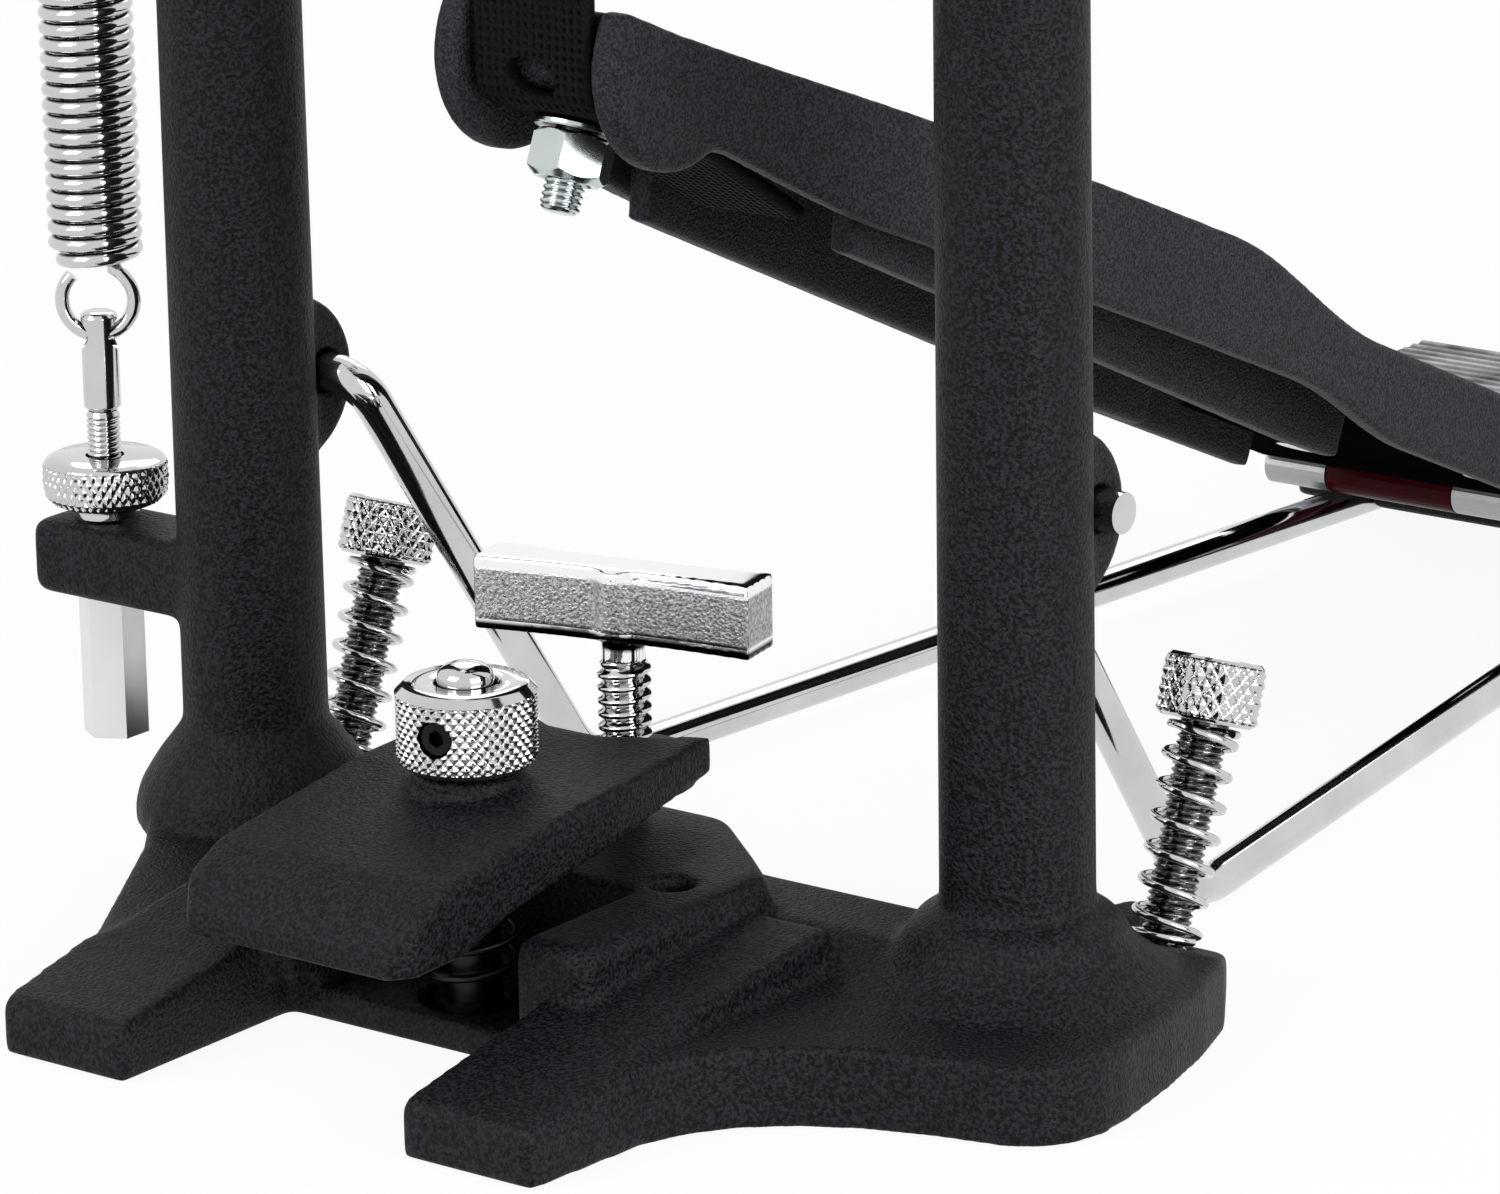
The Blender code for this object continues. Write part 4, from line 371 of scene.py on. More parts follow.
def lathe(name, rows, columns, relief=None):
    """Turned piece round Z from rows of (radius, height); relief(angle, height, radius) moves the skin."""
    work = bmesh.new()
    rings = []
    for radius, height in rows:
        if radius < 1e-6:
            rings.append([work.verts.new((0, 0, height))])
            continue
        loop = []
        for i in range(columns):
            angle = 2 * math.pi * i / columns
            out = radius + (relief(angle, height, radius) if relief else 0.0)
            loop.append(work.verts.new((out * math.cos(angle), out * math.sin(angle), height)))
        rings.append(loop)
    for low, high in zip(rings, rings[1:]):
        for i in range(columns):
            j = i + 1
            corners = [low[i % len(low)], low[j % len(low)], high[j % len(high)], high[i % len(high)]]
            corners = list(dict.fromkeys(corners))
            if len(corners) > 2:
                work.faces.new(corners)
    thing = from_bmesh(name, work)
    thing.data.shade_smooth()
    return thing


def wave(value):
    """Triangle wave from 0 in a groove to 1 on a crest."""
    return 1 - abs(2 * (value % 1.0) - 1)


def diamond_relief(low, high, count, pitch, depth, least):
    """Knurl of small pyramids between two heights, on the skin outside a radius."""

    def relief(angle, height, radius):
        if radius < least or not low < height < high:
            return 0.0
        turn = angle * count / (2 * math.pi)
        rise = height / pitch
        crest = min(wave(turn + rise), wave(turn - rise))
        return -depth * (1 - min(crest * KNURL_SLOPE, 1.0))

    return relief


def thread_relief(low, high, pitch, depth):
    """Screw thread between two heights, with round crests."""

    def relief(angle, height, radius):
        if not low < height < high:
            return 0.0
        crest = wave(height / pitch - angle / (2 * math.pi))
        return -depth * (1 - min(crest * THREAD_SLOPE, 1.0))

    return relief


def hex_relief(across, low, high):
    """Six flats between two heights, where the blank is wider than they are."""

    def relief(angle, height, radius):
        if not low <= height <= high:
            return 0.0
        off = (angle + math.pi / 6) % (math.pi / 3) - math.pi / 6
        return min(0.0, across / 2 / math.cos(off) - radius)

    return relief


def added(*reliefs):
    """Several reliefs on one piece."""

    def relief(angle, height, radius):
        return sum(each(angle, height, radius) for each in reliefs)

    return relief


def drilled(thing, radius, placed, reach):
    """Cut a round hole along a placement's Z axis."""
    sides = 28
    drill = lathe("drill", [(0.0, 0.0), (radius, 0.0), (radius, reach), (0.0, reach)], sides)
    drill.data.transform(placed)
    step = thing.modifiers.new("hole", "BOOLEAN")
    step.operation = "DIFFERENCE"
    step.object = drill
    settle(thing)
    bpy.data.objects.remove(drill)
    return thing


def runs(points, step):
    """Fill a profile of (radius, height) with rows no further apart than step where it runs upright."""
    rows = [points[0]]
    for (r0, z0), (r1, z1) in zip(points, points[1:]):
        count = max(1, round(abs(z1 - z0) / step))
        for i in range(1, count + 1):
            f = i / count
            rows.append((r0 + (r1 - r0) * f, z0 + (z1 - z0) * f))
    return rows


def turned(name, profile, placed, columns, crease, step=None, relief=None):
    """Turned piece in its place, with rows close enough together for its relief."""
    rows = runs(profile, step) if step else profile
    thing = lathe(name, rows, columns, relief)
    thing.data.transform(placed)
    smooth_mesh(thing.data, crease)
    return thing


def sweep(name, points, radius, sides=14):
    """Round bar or wire along points, with closed ends."""
    work = bmesh.new()
    places = [Vector(p) for p in points]
    normal = None
    rings = []
    for i, place in enumerate(places):
        along = (places[min(i + 1, len(places) - 1)] - places[max(i - 1, 0)]).normalized()
        if normal is None:
            normal = along.orthogonal().normalized()
        normal = (normal - along * normal.dot(along)).normalized()
        side = along.cross(normal)
        loop = []
        for k in range(sides):
            angle = 2 * math.pi * k / sides
            loop.append(work.verts.new(place + radius * (normal * math.cos(angle) + side * math.sin(angle))))
        rings.append(loop)
    for low, high in zip(rings, rings[1:]):
        for k in range(sides):
            work.faces.new((low[k], low[(k + 1) % sides], high[(k + 1) % sides], high[k]))
    work.faces.new(rings[0][::-1])
    work.faces.new(rings[-1])
    thing = from_bmesh(name, work)
    smooth_mesh(thing.data, 50)
    return thing


def settle(thing):
    """Replace a piece's mesh by what its modifiers make of it."""
    graph = bpy.context.evaluated_depsgraph_get()
    mesh = bpy.data.meshes.new_from_object(thing.evaluated_get(graph))
    thing.modifiers.clear()
    thing.data = mesh
    return thing


def cast_copy(node, body, look, voxel, rounds, kept=1.0, above=None):
    """A softened copy of a solid, or of its part above a height, with the round edges of a casting."""
    work = bmesh.new()
    work.from_mesh(NODES[node].data)
    bmesh.ops.remove_doubles(work, verts=work.verts, dist=1e-6)
    if above is not None:
        whole = [*work.verts, *work.edges, *work.faces]
        level = (0, 0, above)
        bmesh.ops.bisect_plane(work, geom=whole, plane_co=level, plane_no=(0, 0, 1), clear_inner=True)
        bmesh.ops.edgeloop_fill(work, edges=[e for e in work.edges if e.is_boundary])
    thing = from_bmesh(node + "_cast", work)
    remesh = thing.modifiers.new("remesh", "REMESH")
    remesh.mode = "VOXEL"
    remesh.voxel_size = voxel
    smooth = thing.modifiers.new("smooth", "SMOOTH")
    smooth.factor = 0.5
    smooth.iterations = rounds
    thin = thing.modifiers.new("thin", "DECIMATE")
    thin.ratio = kept
    settle(thing)
    thing.data.shade_smooth()
    dress(thing, look)
    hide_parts(node)
    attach(thing, body)
    return thing


def stand_in(thing, look, body, *nodes):
    """Dress a new piece, let it ride on a body, and let it stand for solids."""
    dress(thing, look)
    if nodes:
        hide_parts(*nodes)
    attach(thing, body)
    return thing


def keep_solid(node, look, bevel=0.0, angle=35):
    """Keep a solid with a better finish and a small round on its edges."""
    thing = NODES[node]
    dress(thing, look)
    smooth_mesh(thing.data, angle)
    if bevel:
        step = thing.modifiers.new("edge", "BEVEL")
        step.width = bevel
        step.segments = 2
        step.limit_method = "ANGLE"
        step.angle_limit = math.radians(angle)
        step.harden_normals = True


def coil_points(radius, bottom, length, turns, hand=1, flat=0.0):
    """Points of a coil round Z, left-handed with hand -1; its ends lie flat for a part of a turn."""
    per_turn = 28
    points = []
    for i in range(turns * per_turn + 1):
        turn = i / per_turn
        angle = hand * 2 * math.pi * turn
        risen = min(max((turn - flat) / (turns - 2 * flat), 0.0), 1.0)
        height = bottom + length * risen
        points.append(Vector((radius * math.cos(angle), radius * math.sin(angle), height)))
    return points


def return_spring():
    """Close coil that ends in a hook at the eye bolt and one at the stirrup."""
    top = SPRING_BOTTOM + SPRING_LENGTH

    def hook(sign, level):
        points = []
        steps = 20
        ring_steps = 40
        for i in range(1, steps):
            f = i / steps
            radius = SPRING_RADIUS + (HOOK_RADIUS * math.sin(HOOK_LEAD) - SPRING_RADIUS) * f
            angle = sign * HOOK_SPIRAL_TURN * f
            height = level + sign * HOOK_SPIRAL * f
            points.append(Vector((radius * math.cos(angle), radius * math.sin(angle), height)))
        centre = level + sign * (HOOK_SPIRAL + HOOK_RADIUS * math.cos(HOOK_LEAD))
        for i in range(ring_steps + 1):
            angle = HOOK_LEAD + (2 * math.pi - HOOK_OPENING) * i / ring_steps
            across = -sign * HOOK_RADIUS * math.sin(angle)
            points.append(Vector((0, across, centre - sign * HOOK_RADIUS * math.cos(angle))))
        return points

    body = coil_points(SPRING_RADIUS, SPRING_BOTTOM, SPRING_LENGTH, SPRING_TURNS)
    points = [*reversed(hook(-1, SPRING_BOTTOM)), *body, *hook(1, top)]
    placed = Matrix.Translation((SPRING_X, 0, 0)) @ Matrix.Rotation(SPRING_FACING, 4, "Z")
    spring = sweep("return_spring_wire", [placed @ p for p in points], SPRING_WIRE / 2, sides=10)
    dress(spring, "chrome")
    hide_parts("return_spring")
    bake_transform(spring)


def spur_placement(side):
    """Leaning axis of a spur, from the top of its wing."""
    lean = Matrix.Rotation(-SPUR_LEAN, 4, "X")
    return Matrix.Translation((side * SPUR_OFFSET, SPUR_Y, WING_THICKNESS)) @ lean


# Spurs
SPUR_RADIUS = 0.0029
SPUR_TIP_HEIGHT = 0.0012
SPUR_TIP = -(WING_THICKNESS - SPUR_TIP_HEIGHT) / math.cos(SPUR_LEAN)
SPUR_POINT = 0.0045
SPUR_HEAD_LOW = 0.0245
SPUR_HEAD_HEIGHT = 0.0075
SPUR_HEAD_RADIUS = 0.0060
SPUR_SPRING_WIRE = 0.0010
SPUR_SPRING_RADIUS = 0.0039
SPUR_SPRING_LOW = -0.00075
SPUR_SPRING_HIGH = SPUR_HEAD_LOW - 0.00085
SPUR_SPRING_TURNS = 8


def spurs():
    """Knurled spurs, threaded below, with the springs round them."""
    low = SPUR_HEAD_LOW
    top = low + SPUR_HEAD_HEIGHT
    edge = 0.0007
    row = 0.00014
    thread_low = SPUR_TIP + SPUR_POINT
    thread_high = low - 0.0004
    shank = [
        (0.0, SPUR_TIP),
        (SPUR_RADIUS * 0.98, thread_low),
        (SPUR_RADIUS, thread_high),
        (SPUR_RADIUS * 0.9, low + edge),
        (0.0, low + edge),
    ]
    head = [
        (0.0, low),
        (SPUR_HEAD_RADIUS - edge, low),
        (SPUR_HEAD_RADIUS, low + edge),
        (SPUR_HEAD_RADIUS, top - edge),
        (SPUR_HEAD_RADIUS - edge, top),
        (SPUR_HEAD_RADIUS * 0.62, top),
        (SPUR_HEAD_RADIUS * 0.55, top - edge),
        (0.0, top - edge),
    ]
    knurl_edge = edge * 0.6
    skin = SPUR_HEAD_RADIUS * 0.95
    knurl = diamond_relief(
        low + knurl_edge, top - knurl_edge, count=24, pitch=0.0022, depth=0.00046, least=skin
    )
    thread = thread_relief(thread_low, thread_high, pitch=0.0008, depth=0.00045)
    spring_length = SPUR_SPRING_HIGH - SPUR_SPRING_LOW
    for side, name in SIDES:
        placed = spur_placement(side)
        spur = turned(name + "_spur_head", head, placed, columns=168, crease=48, step=row, relief=knurl)
        screw = turned(name + "_spur_screw", shank, placed, columns=64, crease=48, step=row, relief=thread)
        stand_in(spur, "chrome", "spur_" + name, name + "_spur")
        stand_in(screw, "steel", "spur_" + name)
        points = coil_points(
            SPUR_SPRING_RADIUS, SPUR_SPRING_LOW, spring_length, SPUR_SPRING_TURNS, hand=-1, flat=0.7
        )
        spring = sweep(name + "_spur_wire", [placed @ p for p in points], SPUR_SPRING_WIRE / 2, sides=12)
        dress(spring, "chrome")
        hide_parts(name + "_spur_spring")
        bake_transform(spring)


# Hoop clamp's collar, spring and stud
COLLAR_RADIUS = 0.0082
COLLAR_LOW = 0.0320
COLLAR_HEIGHT = 0.0097
COLLAR_BORE = 0.0036
SET_SCREW_TURN = math.radians(11)
SET_SCREW_HOLE = 0.0022
CLAMP_SPRING_WIRE = 0.0010
CLAMP_SPRING_RADIUS = 0.0050
CLAMP_SPRING_TURNS = 5
STUD_RADIUS = 0.0033
STUD_LOW = 0.0008
STUD_FLANGE_LOW = 0.0025
STUD_FLANGE_HIGH = STUD_FLANGE_LOW + 0.0015
STUD_FLANGE_RADIUS = STUD_RADIUS + 0.0014
STUD_END_LOW = COLLAR_LOW + 0.0012
STUD_SHOULDER = 0.0007
STUD_DOME = 0.0017


def clamp_collar():
    """Knurled collar with a hole for its set screw."""
    edge = 0.0010
    bore_edge = 0.0002
    high = COLLAR_HEIGHT
    profile = [
        (COLLAR_BORE, 0.0),
        (COLLAR_RADIUS - edge, 0.0),
        (COLLAR_RADIUS, edge),
        (COLLAR_RADIUS, high - edge),
        (COLLAR_RADIUS - edge, high),
        (COLLAR_BORE + bore_edge, high),
        (COLLAR_BORE, high - bore_edge),
        (COLLAR_BORE, 0.0),
    ]
    skin = COLLAR_RADIUS * 0.96
    knurl = diamond_relief(edge * 0.6, high - edge, count=38, pitch=0.0014, depth=0.00042, least=skin)
    collar = lathe("knurled_collar", runs(profile, step=0.00016), columns=304, relief=knurl)
    collar.data.transform(Matrix.Translation((0, STUD_Y, COLLAR_LOW)))
    outward = Matrix.Rotation(SET_SCREW_TURN, 4, "Z") @ Matrix.Rotation(math.radians(90), 4, "X")
    middle = Matrix.Translation((0, STUD_Y, COLLAR_LOW + high / 2))
    drilled(collar, SET_SCREW_HOLE, middle @ outward, reach=0.012)
    smooth_mesh(collar.data, angle=48)
    stand_in(collar, "chrome", "frame", "clamp_collar")


def clamp_spring():
    """Black spring that lifts the clamp plate."""
    low, high = (corner.z for corner in map(Vector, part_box("clamp_spring")))
    wire = CLAMP_SPRING_WIRE
    points = coil_points(CLAMP_SPRING_RADIUS, low + wire / 2, high - low - wire, CLAMP_SPRING_TURNS)
    spring = sweep("clamp_spring_wire", [p + Vector((0, STUD_Y, 0)) for p in points], wire / 2, sides=12)
    dress(spring, "oxide")
    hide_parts("clamp_spring")
    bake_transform(spring)


def clamp_stud():
    """Stud in black steel with a bright round end above the collar."""
    shank_high = COLLAR_LOW + 0.0010
    shank = [
        (0.0, STUD_LOW),
        (STUD_RADIUS, STUD_LOW),
        (STUD_RADIUS, STUD_FLANGE_LOW),
        (STUD_FLANGE_RADIUS, STUD_FLANGE_LOW),
        (STUD_FLANGE_RADIUS, STUD_FLANGE_HIGH),
        (STUD_RADIUS, STUD_FLANGE_HIGH),
        (STUD_RADIUS, shank_high),
        (0.0, shank_high),
    ]
    shoulder = COLLAR_LOW + COLLAR_HEIGHT + STUD_SHOULDER
    end = [(0.0, STUD_END_LOW), (STUD_RADIUS, STUD_END_LOW), (STUD_RADIUS, shoulder)]
    for i in range(1, 7):
        angle = math.radians(15 * i)
        end.append((STUD_RADIUS * math.cos(angle), shoulder + STUD_DOME * math.sin(angle)))
    placed = Matrix.Translation((0, STUD_Y, 0))
    stand_in(turned("stud_shank", shank, placed, columns=48, crease=40), "oxide", "frame")
    stand_in(turned("stud_end", end, placed, columns=48, crease=40), "chrome", "frame", "clamp_stud")


# Spring's adjuster, and the strap's bolt and nut
TENSION_NUT_LOW = 0.0428
TENSION_NUT_RADIUS = 0.0078
TENSION_NUT_HEIGHT = 0.0075
EYE_BOLT_RADIUS = 0.0021
EYE_HEAD_RADIUS = 0.0023
EYE_HEIGHT = 0.0657
EYE_HOLE = 0.00195
EYE_TURN = math.radians(37)
STRAP_BOLT_S = 0.2203
STRAP_BOLT_RADIUS = 0.0024
NUT_CORNER = 0.0050
NUT_BORE = STRAP_BOLT_RADIUS + 0.0003
NUT_LOW = -0.0045
NUT_HIGH = 0.0010
NUT_TURN = math.radians(24)


def tension_nut():
    """Round knurled nut, drawn in below, on a thin foot."""
    rim = TENSION_NUT_RADIUS
    high = TENSION_NUT_HEIGHT
    foot = 0.0008
    bore = EYE_BOLT_RADIUS + 0.0003
    profile = [
        (bore, 0.0),
        (rim * 0.52, 0.0),
        (rim * 0.52, foot),
        (rim * 0.66, foot + 0.0004),
        (rim * 0.88, foot + 0.0011),
        (rim * 0.97, foot + 0.0019),
        (rim, foot + 0.0030),
        (rim, high - 0.0016),
        (rim * 0.985, high - 0.0009),
        (rim * 0.94, high - 0.0004),
        (rim * 0.84, high),
        (bore, high),
        (bore, 0.0),
    ]
    skin = rim * 0.75
    edge = 0.0008
    knurl = diamond_relief(foot + edge, high - edge, count=42, pitch=0.0018, depth=0.00036, least=skin)
    placed = Matrix.Translation((SPRING_X, 0, TENSION_NUT_LOW))
    nut = turned("knurled_tension_nut", profile, placed, columns=294, crease=48, step=0.00016, relief=knurl)
    stand_in(nut, "chrome", "tension_nut", "tension_nut")


def eye_bolt():
    """Threaded bolt with a drilled round head for the spring's hook."""
    low = 0.0190
    neck = 0.0560
    top = 0.0685
    edge = 0.0006
    profile = [
        (0.0, low),
        (EYE_BOLT_RADIUS * 0.8, low),
        (EYE_BOLT_RADIUS, low + edge),
        (EYE_BOLT_RADIUS, neck - edge),
        (EYE_BOLT_RADIUS * 0.85, neck),
        (EYE_HEAD_RADIUS - edge, neck),
        (EYE_HEAD_RADIUS, neck + edge),
        (EYE_HEAD_RADIUS, top - edge),
        (EYE_HEAD_RADIUS - edge / 2, top - edge / 4),
        (EYE_HEAD_RADIUS - edge, top),
        (0.0, top),
    ]
    thread = thread_relief(low + edge, neck - edge, pitch=0.0007, depth=0.00032)
    bolt = lathe("threaded_eye_bolt", runs(profile, step=0.000117), columns=48, relief=thread)
    bolt.data.transform(Matrix.Translation((SPRING_X, 0, 0)))
    through = Matrix.Rotation(EYE_TURN, 4, "Z") @ Matrix.Rotation(math.radians(90), 4, "Y")
    reach = 0.01
    start = Matrix.Translation((SPRING_X, 0, EYE_HEIGHT)) @ through @ Matrix.Translation((0, 0, -reach / 2))
    drilled(bolt, EYE_HOLE, start, reach)
    smooth_mesh(bolt.data, angle=48)
    stand_in(bolt, "chrome", "frame", "spring_eye_bolt")


def wing_screw():
    """Wing head with its neck, above a coarse thread."""
    neck_low = WING_BOTTOM - WING_NECK
    cast_copy("wing_screw", "wing_screw", "blasted", voxel=0.0003, rounds=9, above=neck_low)
    overlap = 0.0002
    low = PLATFORM_HEIGHT + 0.0003
    high = neck_low + overlap
    crest = 0.0032
    pitch = 0.0016
    taper = 0.0008
    profile = [
        (0.0, low),
        (crest * 0.7, low),
        (crest, low + taper),
        (crest, high - taper),
        (crest * 0.8, high),
        (0.0, high),
    ]
    thread = thread_relief(low + taper / 2, high - overlap, pitch, depth=0.00075)
    placed = Matrix.Translation((0, WING_SCREW_Y, 0))
    screw = turned("wing_thread", profile, placed, columns=56, crease=60, step=pitch / 12, relief=thread)
    stand_in(screw, "chrome", "wing_screw")


def board_placement():
    """Place of the hinge, with Y along the board and Z off it."""
    return Matrix.Translation(HINGE) @ Matrix.Rotation(-BOARD_ANGLE, 4, "X")


def strap_bolt(placed):
    """Threaded bolt through the toe, with a six-sided socket in its head."""
    tip = -0.0081
    under_head = 0.0110
    top = 0.0135
    edge = 0.0004
    socket = 0.0017
    socket_mouth = socket * 1.15
    socket_floor = top - 0.0012
    profile = [
        (0.0, tip),
        (STRAP_BOLT_RADIUS * 0.75, tip),
        (STRAP_BOLT_RADIUS, tip + edge),
        (STRAP_BOLT_RADIUS, under_head),
        (NUT_CORNER, under_head),
        (NUT_CORNER, top - edge),
        (NUT_CORNER - edge, top),
        (socket_mouth, top),
        (socket_mouth, socket_floor),
        (0.0, socket_floor),
    ]
    reliefs = added(
        thread_relief(tip + edge / 2, NUT_LOW + 0.0002, pitch=0.0008, depth=0.00040),
        hex_relief(socket * 2, socket_floor, top - 0.0006),
    )
    bolt = turned("strap_bolt_turned", profile, placed, columns=60, crease=48, step=0.000133, relief=reliefs)
    stand_in(bolt, "zinc", "footboard", "strap_bolt")


def strap_nut(placed):
    """Six-sided nut with chamfered corners."""
    across = 2 * NUT_CORNER * math.cos(math.pi / 6)
    bevel = 0.0010
    profile = [
        (NUT_BORE, NUT_LOW + bevel / 2),
        (NUT_BORE + bevel / 2, NUT_LOW),
        (across / 2 - 0.0006, NUT_LOW),
        (NUT_CORNER, NUT_LOW + bevel),
        (NUT_CORNER, NUT_HIGH - bevel * 0.7),
        (across / 2 - 0.0002, NUT_HIGH),
        (NUT_BORE, NUT_HIGH),
        (NUT_BORE, NUT_LOW + bevel / 2),
    ]
    faced = placed @ Matrix.Rotation(NUT_TURN, 4, "Z")
    flats = hex_relief(across, NUT_LOW, NUT_HIGH)
    nut = turned("strap_hex_nut", profile, faced, columns=120, crease=25, step=0.0001, relief=flats)
    stand_in(nut, "zinc", "footboard", "strap_nut")


def strap_washer(placed):
    """Flat washer between the nut and the strap."""
    low = NUT_HIGH + 0.0003
    high = NUT_HIGH + 0.0011
    edge = 0.0002
    outer = NUT_CORNER + 0.0002
    profile = [
        (NUT_BORE, low),
        (outer - edge, low),
        (outer, low + edge),
        (outer, high - edge),
        (outer - edge, high),
        (NUT_BORE, high),
        (NUT_BORE, low),
    ]
    washer = turned("strap_flat_washer", profile, placed, columns=72, crease=30)
    stand_in(washer, "zinc", "footboard", "strap_washer")


def strap_fastener():
    """Bolt, nut and washer that hold the strap under the toe."""
    placed = board_placement() @ Matrix.Translation((0, -STRAP_BOLT_S, 0))
    strap_bolt(placed)
    strap_nut(placed)
    strap_washer(placed)


def rounded_path(points, radii, steps=10):
    """Points along a broken line whose inner corners are bent to radii."""
    places = [Vector(p) for p in points]
    route = [places[0]]
    for before, corner, after, radius in zip(places, places[1:], places[2:], radii):
        back = (before - corner).normalized()
        ahead = (after - corner).normalized()
        half = math.acos(max(-1.0, min(1.0, back.dot(ahead)))) / 2
        reach = radius / math.tan(half)
        centre = corner + (back + ahead).normalized() * (radius / math.sin(half))
        first = corner + back * reach - centre
        last = corner + ahead * reach - centre
        for i in range(steps + 1):
            route.append(centre + first.slerp(last, i / steps).normalized() * radius)
    return route + [places[-1]]


# Side rods, by the corners of the right one
ROD_RADIUS = 0.0024
ROD_LUG = (0.0650, 0.0098, 0.0628)
ROD_ELBOW = (0.0472, 0.0098, 0.0628)
ROD_FLOOR = (0.0465, 0.0515, 0.0027)
ROD_HEEL = (0.0270, 0.2030, 0.0062)
ROD_TAIL = 0.0145
ROD_BENDS = (0.0045, 0.0120)


def side_rods():
    """Bright bent rods from the posts to the heel plate."""
    for side, name in SIDES:
        corners = [Vector((side * x, y, z)) for x, y, z in (ROD_LUG, ROD_ELBOW, ROD_FLOOR)]
        heel = Vector((side * ROD_HEEL[0], *ROD_HEEL[1:]))
        corners.append(heel + (heel - corners[-1]).normalized() * ROD_TAIL)
        bar = sweep(name + "_bent_rod", rounded_path(corners, ROD_BENDS), ROD_RADIUS, sides=28)
        stand_in(bar, "chrome", "frame", name + "_side_rod")


# Strap, with places in side view as (y, z)
STRAP_THICKNESS = 0.0020
STRAP_HALF_WIDTH = 0.0085
STRAP_WHEEL_RADIUS = 0.0263
STRAP_WRAP = 150
STRAP_WRAP_START = 1
STRAP_WRAP_STEPS = 320
STRAP_TOE = Vector((-0.0125, 0.1190))
STRAP_OFF_TOE = 0.0013
STRAP_BEND_S = 0.2036
STRAP_BEND_RADIUS = 0.0200
STRAP_END_S = 0.1856
STRAP_END_DROP = 0.0027
STRAP_SLOT_Z = 0.1093
STRAP_SLOT_RADIUS = 0.0029
STRAP_SLOT_OVAL = (1.25, 0.70, 1, 1)
STRAP_SLOT_TURN = math.radians(15)
TOE_FRONT = -0.0112
TOE_UNDERSIDE = 0.0047
TOE_ROUND = 0.0020
WEAVE_PITCH = 0.00110
WEAVE_STEP = WEAVE_PITCH / 5
WEAVE_DEPTH = 0.00080


def weave_pit(across, along):
    """Depth of the small gaps between the threads, as a share."""
    wide = 1.6 * wave(across / WEAVE_PITCH) - 0.7
    long = 2 * wave(along / WEAVE_PITCH) - 0.6
    return max(0.0, min(wide, long, 1.0))


def ribbon(name, line):
    """Woven strap with round edges along a line of (y, z) in side view."""
    half = STRAP_THICKNESS / 2
    flat = STRAP_HALF_WIDTH - half
    columns = round(2 * flat / WEAVE_STEP)
    section = []
    for i in range(5):
        angle = math.radians(-90 + 45 * i)
        section.append((flat + half * math.cos(angle), half * math.sin(angle)))
    for i in range(1, columns):
        section.append((flat - 2 * flat * i / columns, half))
    section += [(-x, -t) for x, t in section]
    work = bmesh.new()
    places = [Vector(p) for p in line]
    rings = []
    length = 0.0
    for i, place in enumerate(places):
        before = places[max(i - 1, 0)]
        length += (place - before).length
        along = (places[min(i + 1, len(places) - 1)] - before).normalized()
        normal = Vector((-along.y, along.x))
        loop = []
        for x, t in section:
            sunk = WEAVE_DEPTH * weave_pit(x, length) if abs(x) < flat else 0.0
            loop.append(work.verts.new((x, *(place + normal * (t - math.copysign(sunk, t))))))
        rings.append(loop)
    count = len(section)
    for low, high in zip(rings, rings[1:]):
        for i in range(count):
            j = (i + 1) % count
            work.faces.new((low[i], low[j], high[j], high[i]))
    work.faces.new(rings[0])
    work.faces.new(rings[-1])
    thing = from_bmesh(name, work)
    smooth_mesh(thing.data, 60)
    return thing


def board_point(s, t):
    """Place in side view, s up the board from its hinge and t above it."""
    y = HINGE.y - s * math.cos(BOARD_ANGLE) + t * math.sin(BOARD_ANGLE)
    return Vector((y, HINGE.z + s * math.sin(BOARD_ANGLE) + t * math.cos(BOARD_ANGLE)))


def between(first, last, step):
    """Points from first to last, about a step apart."""
    count = max(1, round((last - first).length / step))
    return [first.lerp(last, i / count) for i in range(count + 1)]


def strap_at_toe():
    """Strap's end, down the toe's front and back under the board, with its oval slot."""
    y = TOE_FRONT - STRAP_OFF_TOE
    t = TOE_UNDERSIDE - STRAP_OFF_TOE
    s = (HINGE.y + t * math.sin(BOARD_ANGLE) - y) / math.cos(BOARD_ANGLE)
    corners = [
        (0, *STRAP_TOE),
        (0, *board_point(s, t)),
        (0, *board_point(STRAP_BEND_S, t)),
        (0, *board_point(STRAP_END_S, t - STRAP_END_DROP)),
    ]
    route = rounded_path(corners, (TOE_ROUND + STRAP_OFF_TOE, STRAP_BEND_RADIUS), steps=16)
    line = []
    for first, last in zip(route, route[1:]):
        line += between(Vector(first.yz), Vector(last.yz), WEAVE_STEP)[:-1]
    line.append(Vector(route[-1].yz))
    end = ribbon("strap_toe", line)
    reach = 0.010
    front = Matrix.Translation((0, y - reach / 2, STRAP_SLOT_Z)) @ Matrix.Rotation(STRAP_SLOT_TURN, 4, "Y")
    oval = Matrix.Rotation(math.radians(-90), 4, "X") @ Matrix.Diagonal(STRAP_SLOT_OVAL)
    drilled(end, STRAP_SLOT_RADIUS, front @ oval, reach)
    smooth_mesh(end.data, angle=60)
    stand_in(end, "nylon", "footboard", "strap_at_toe")


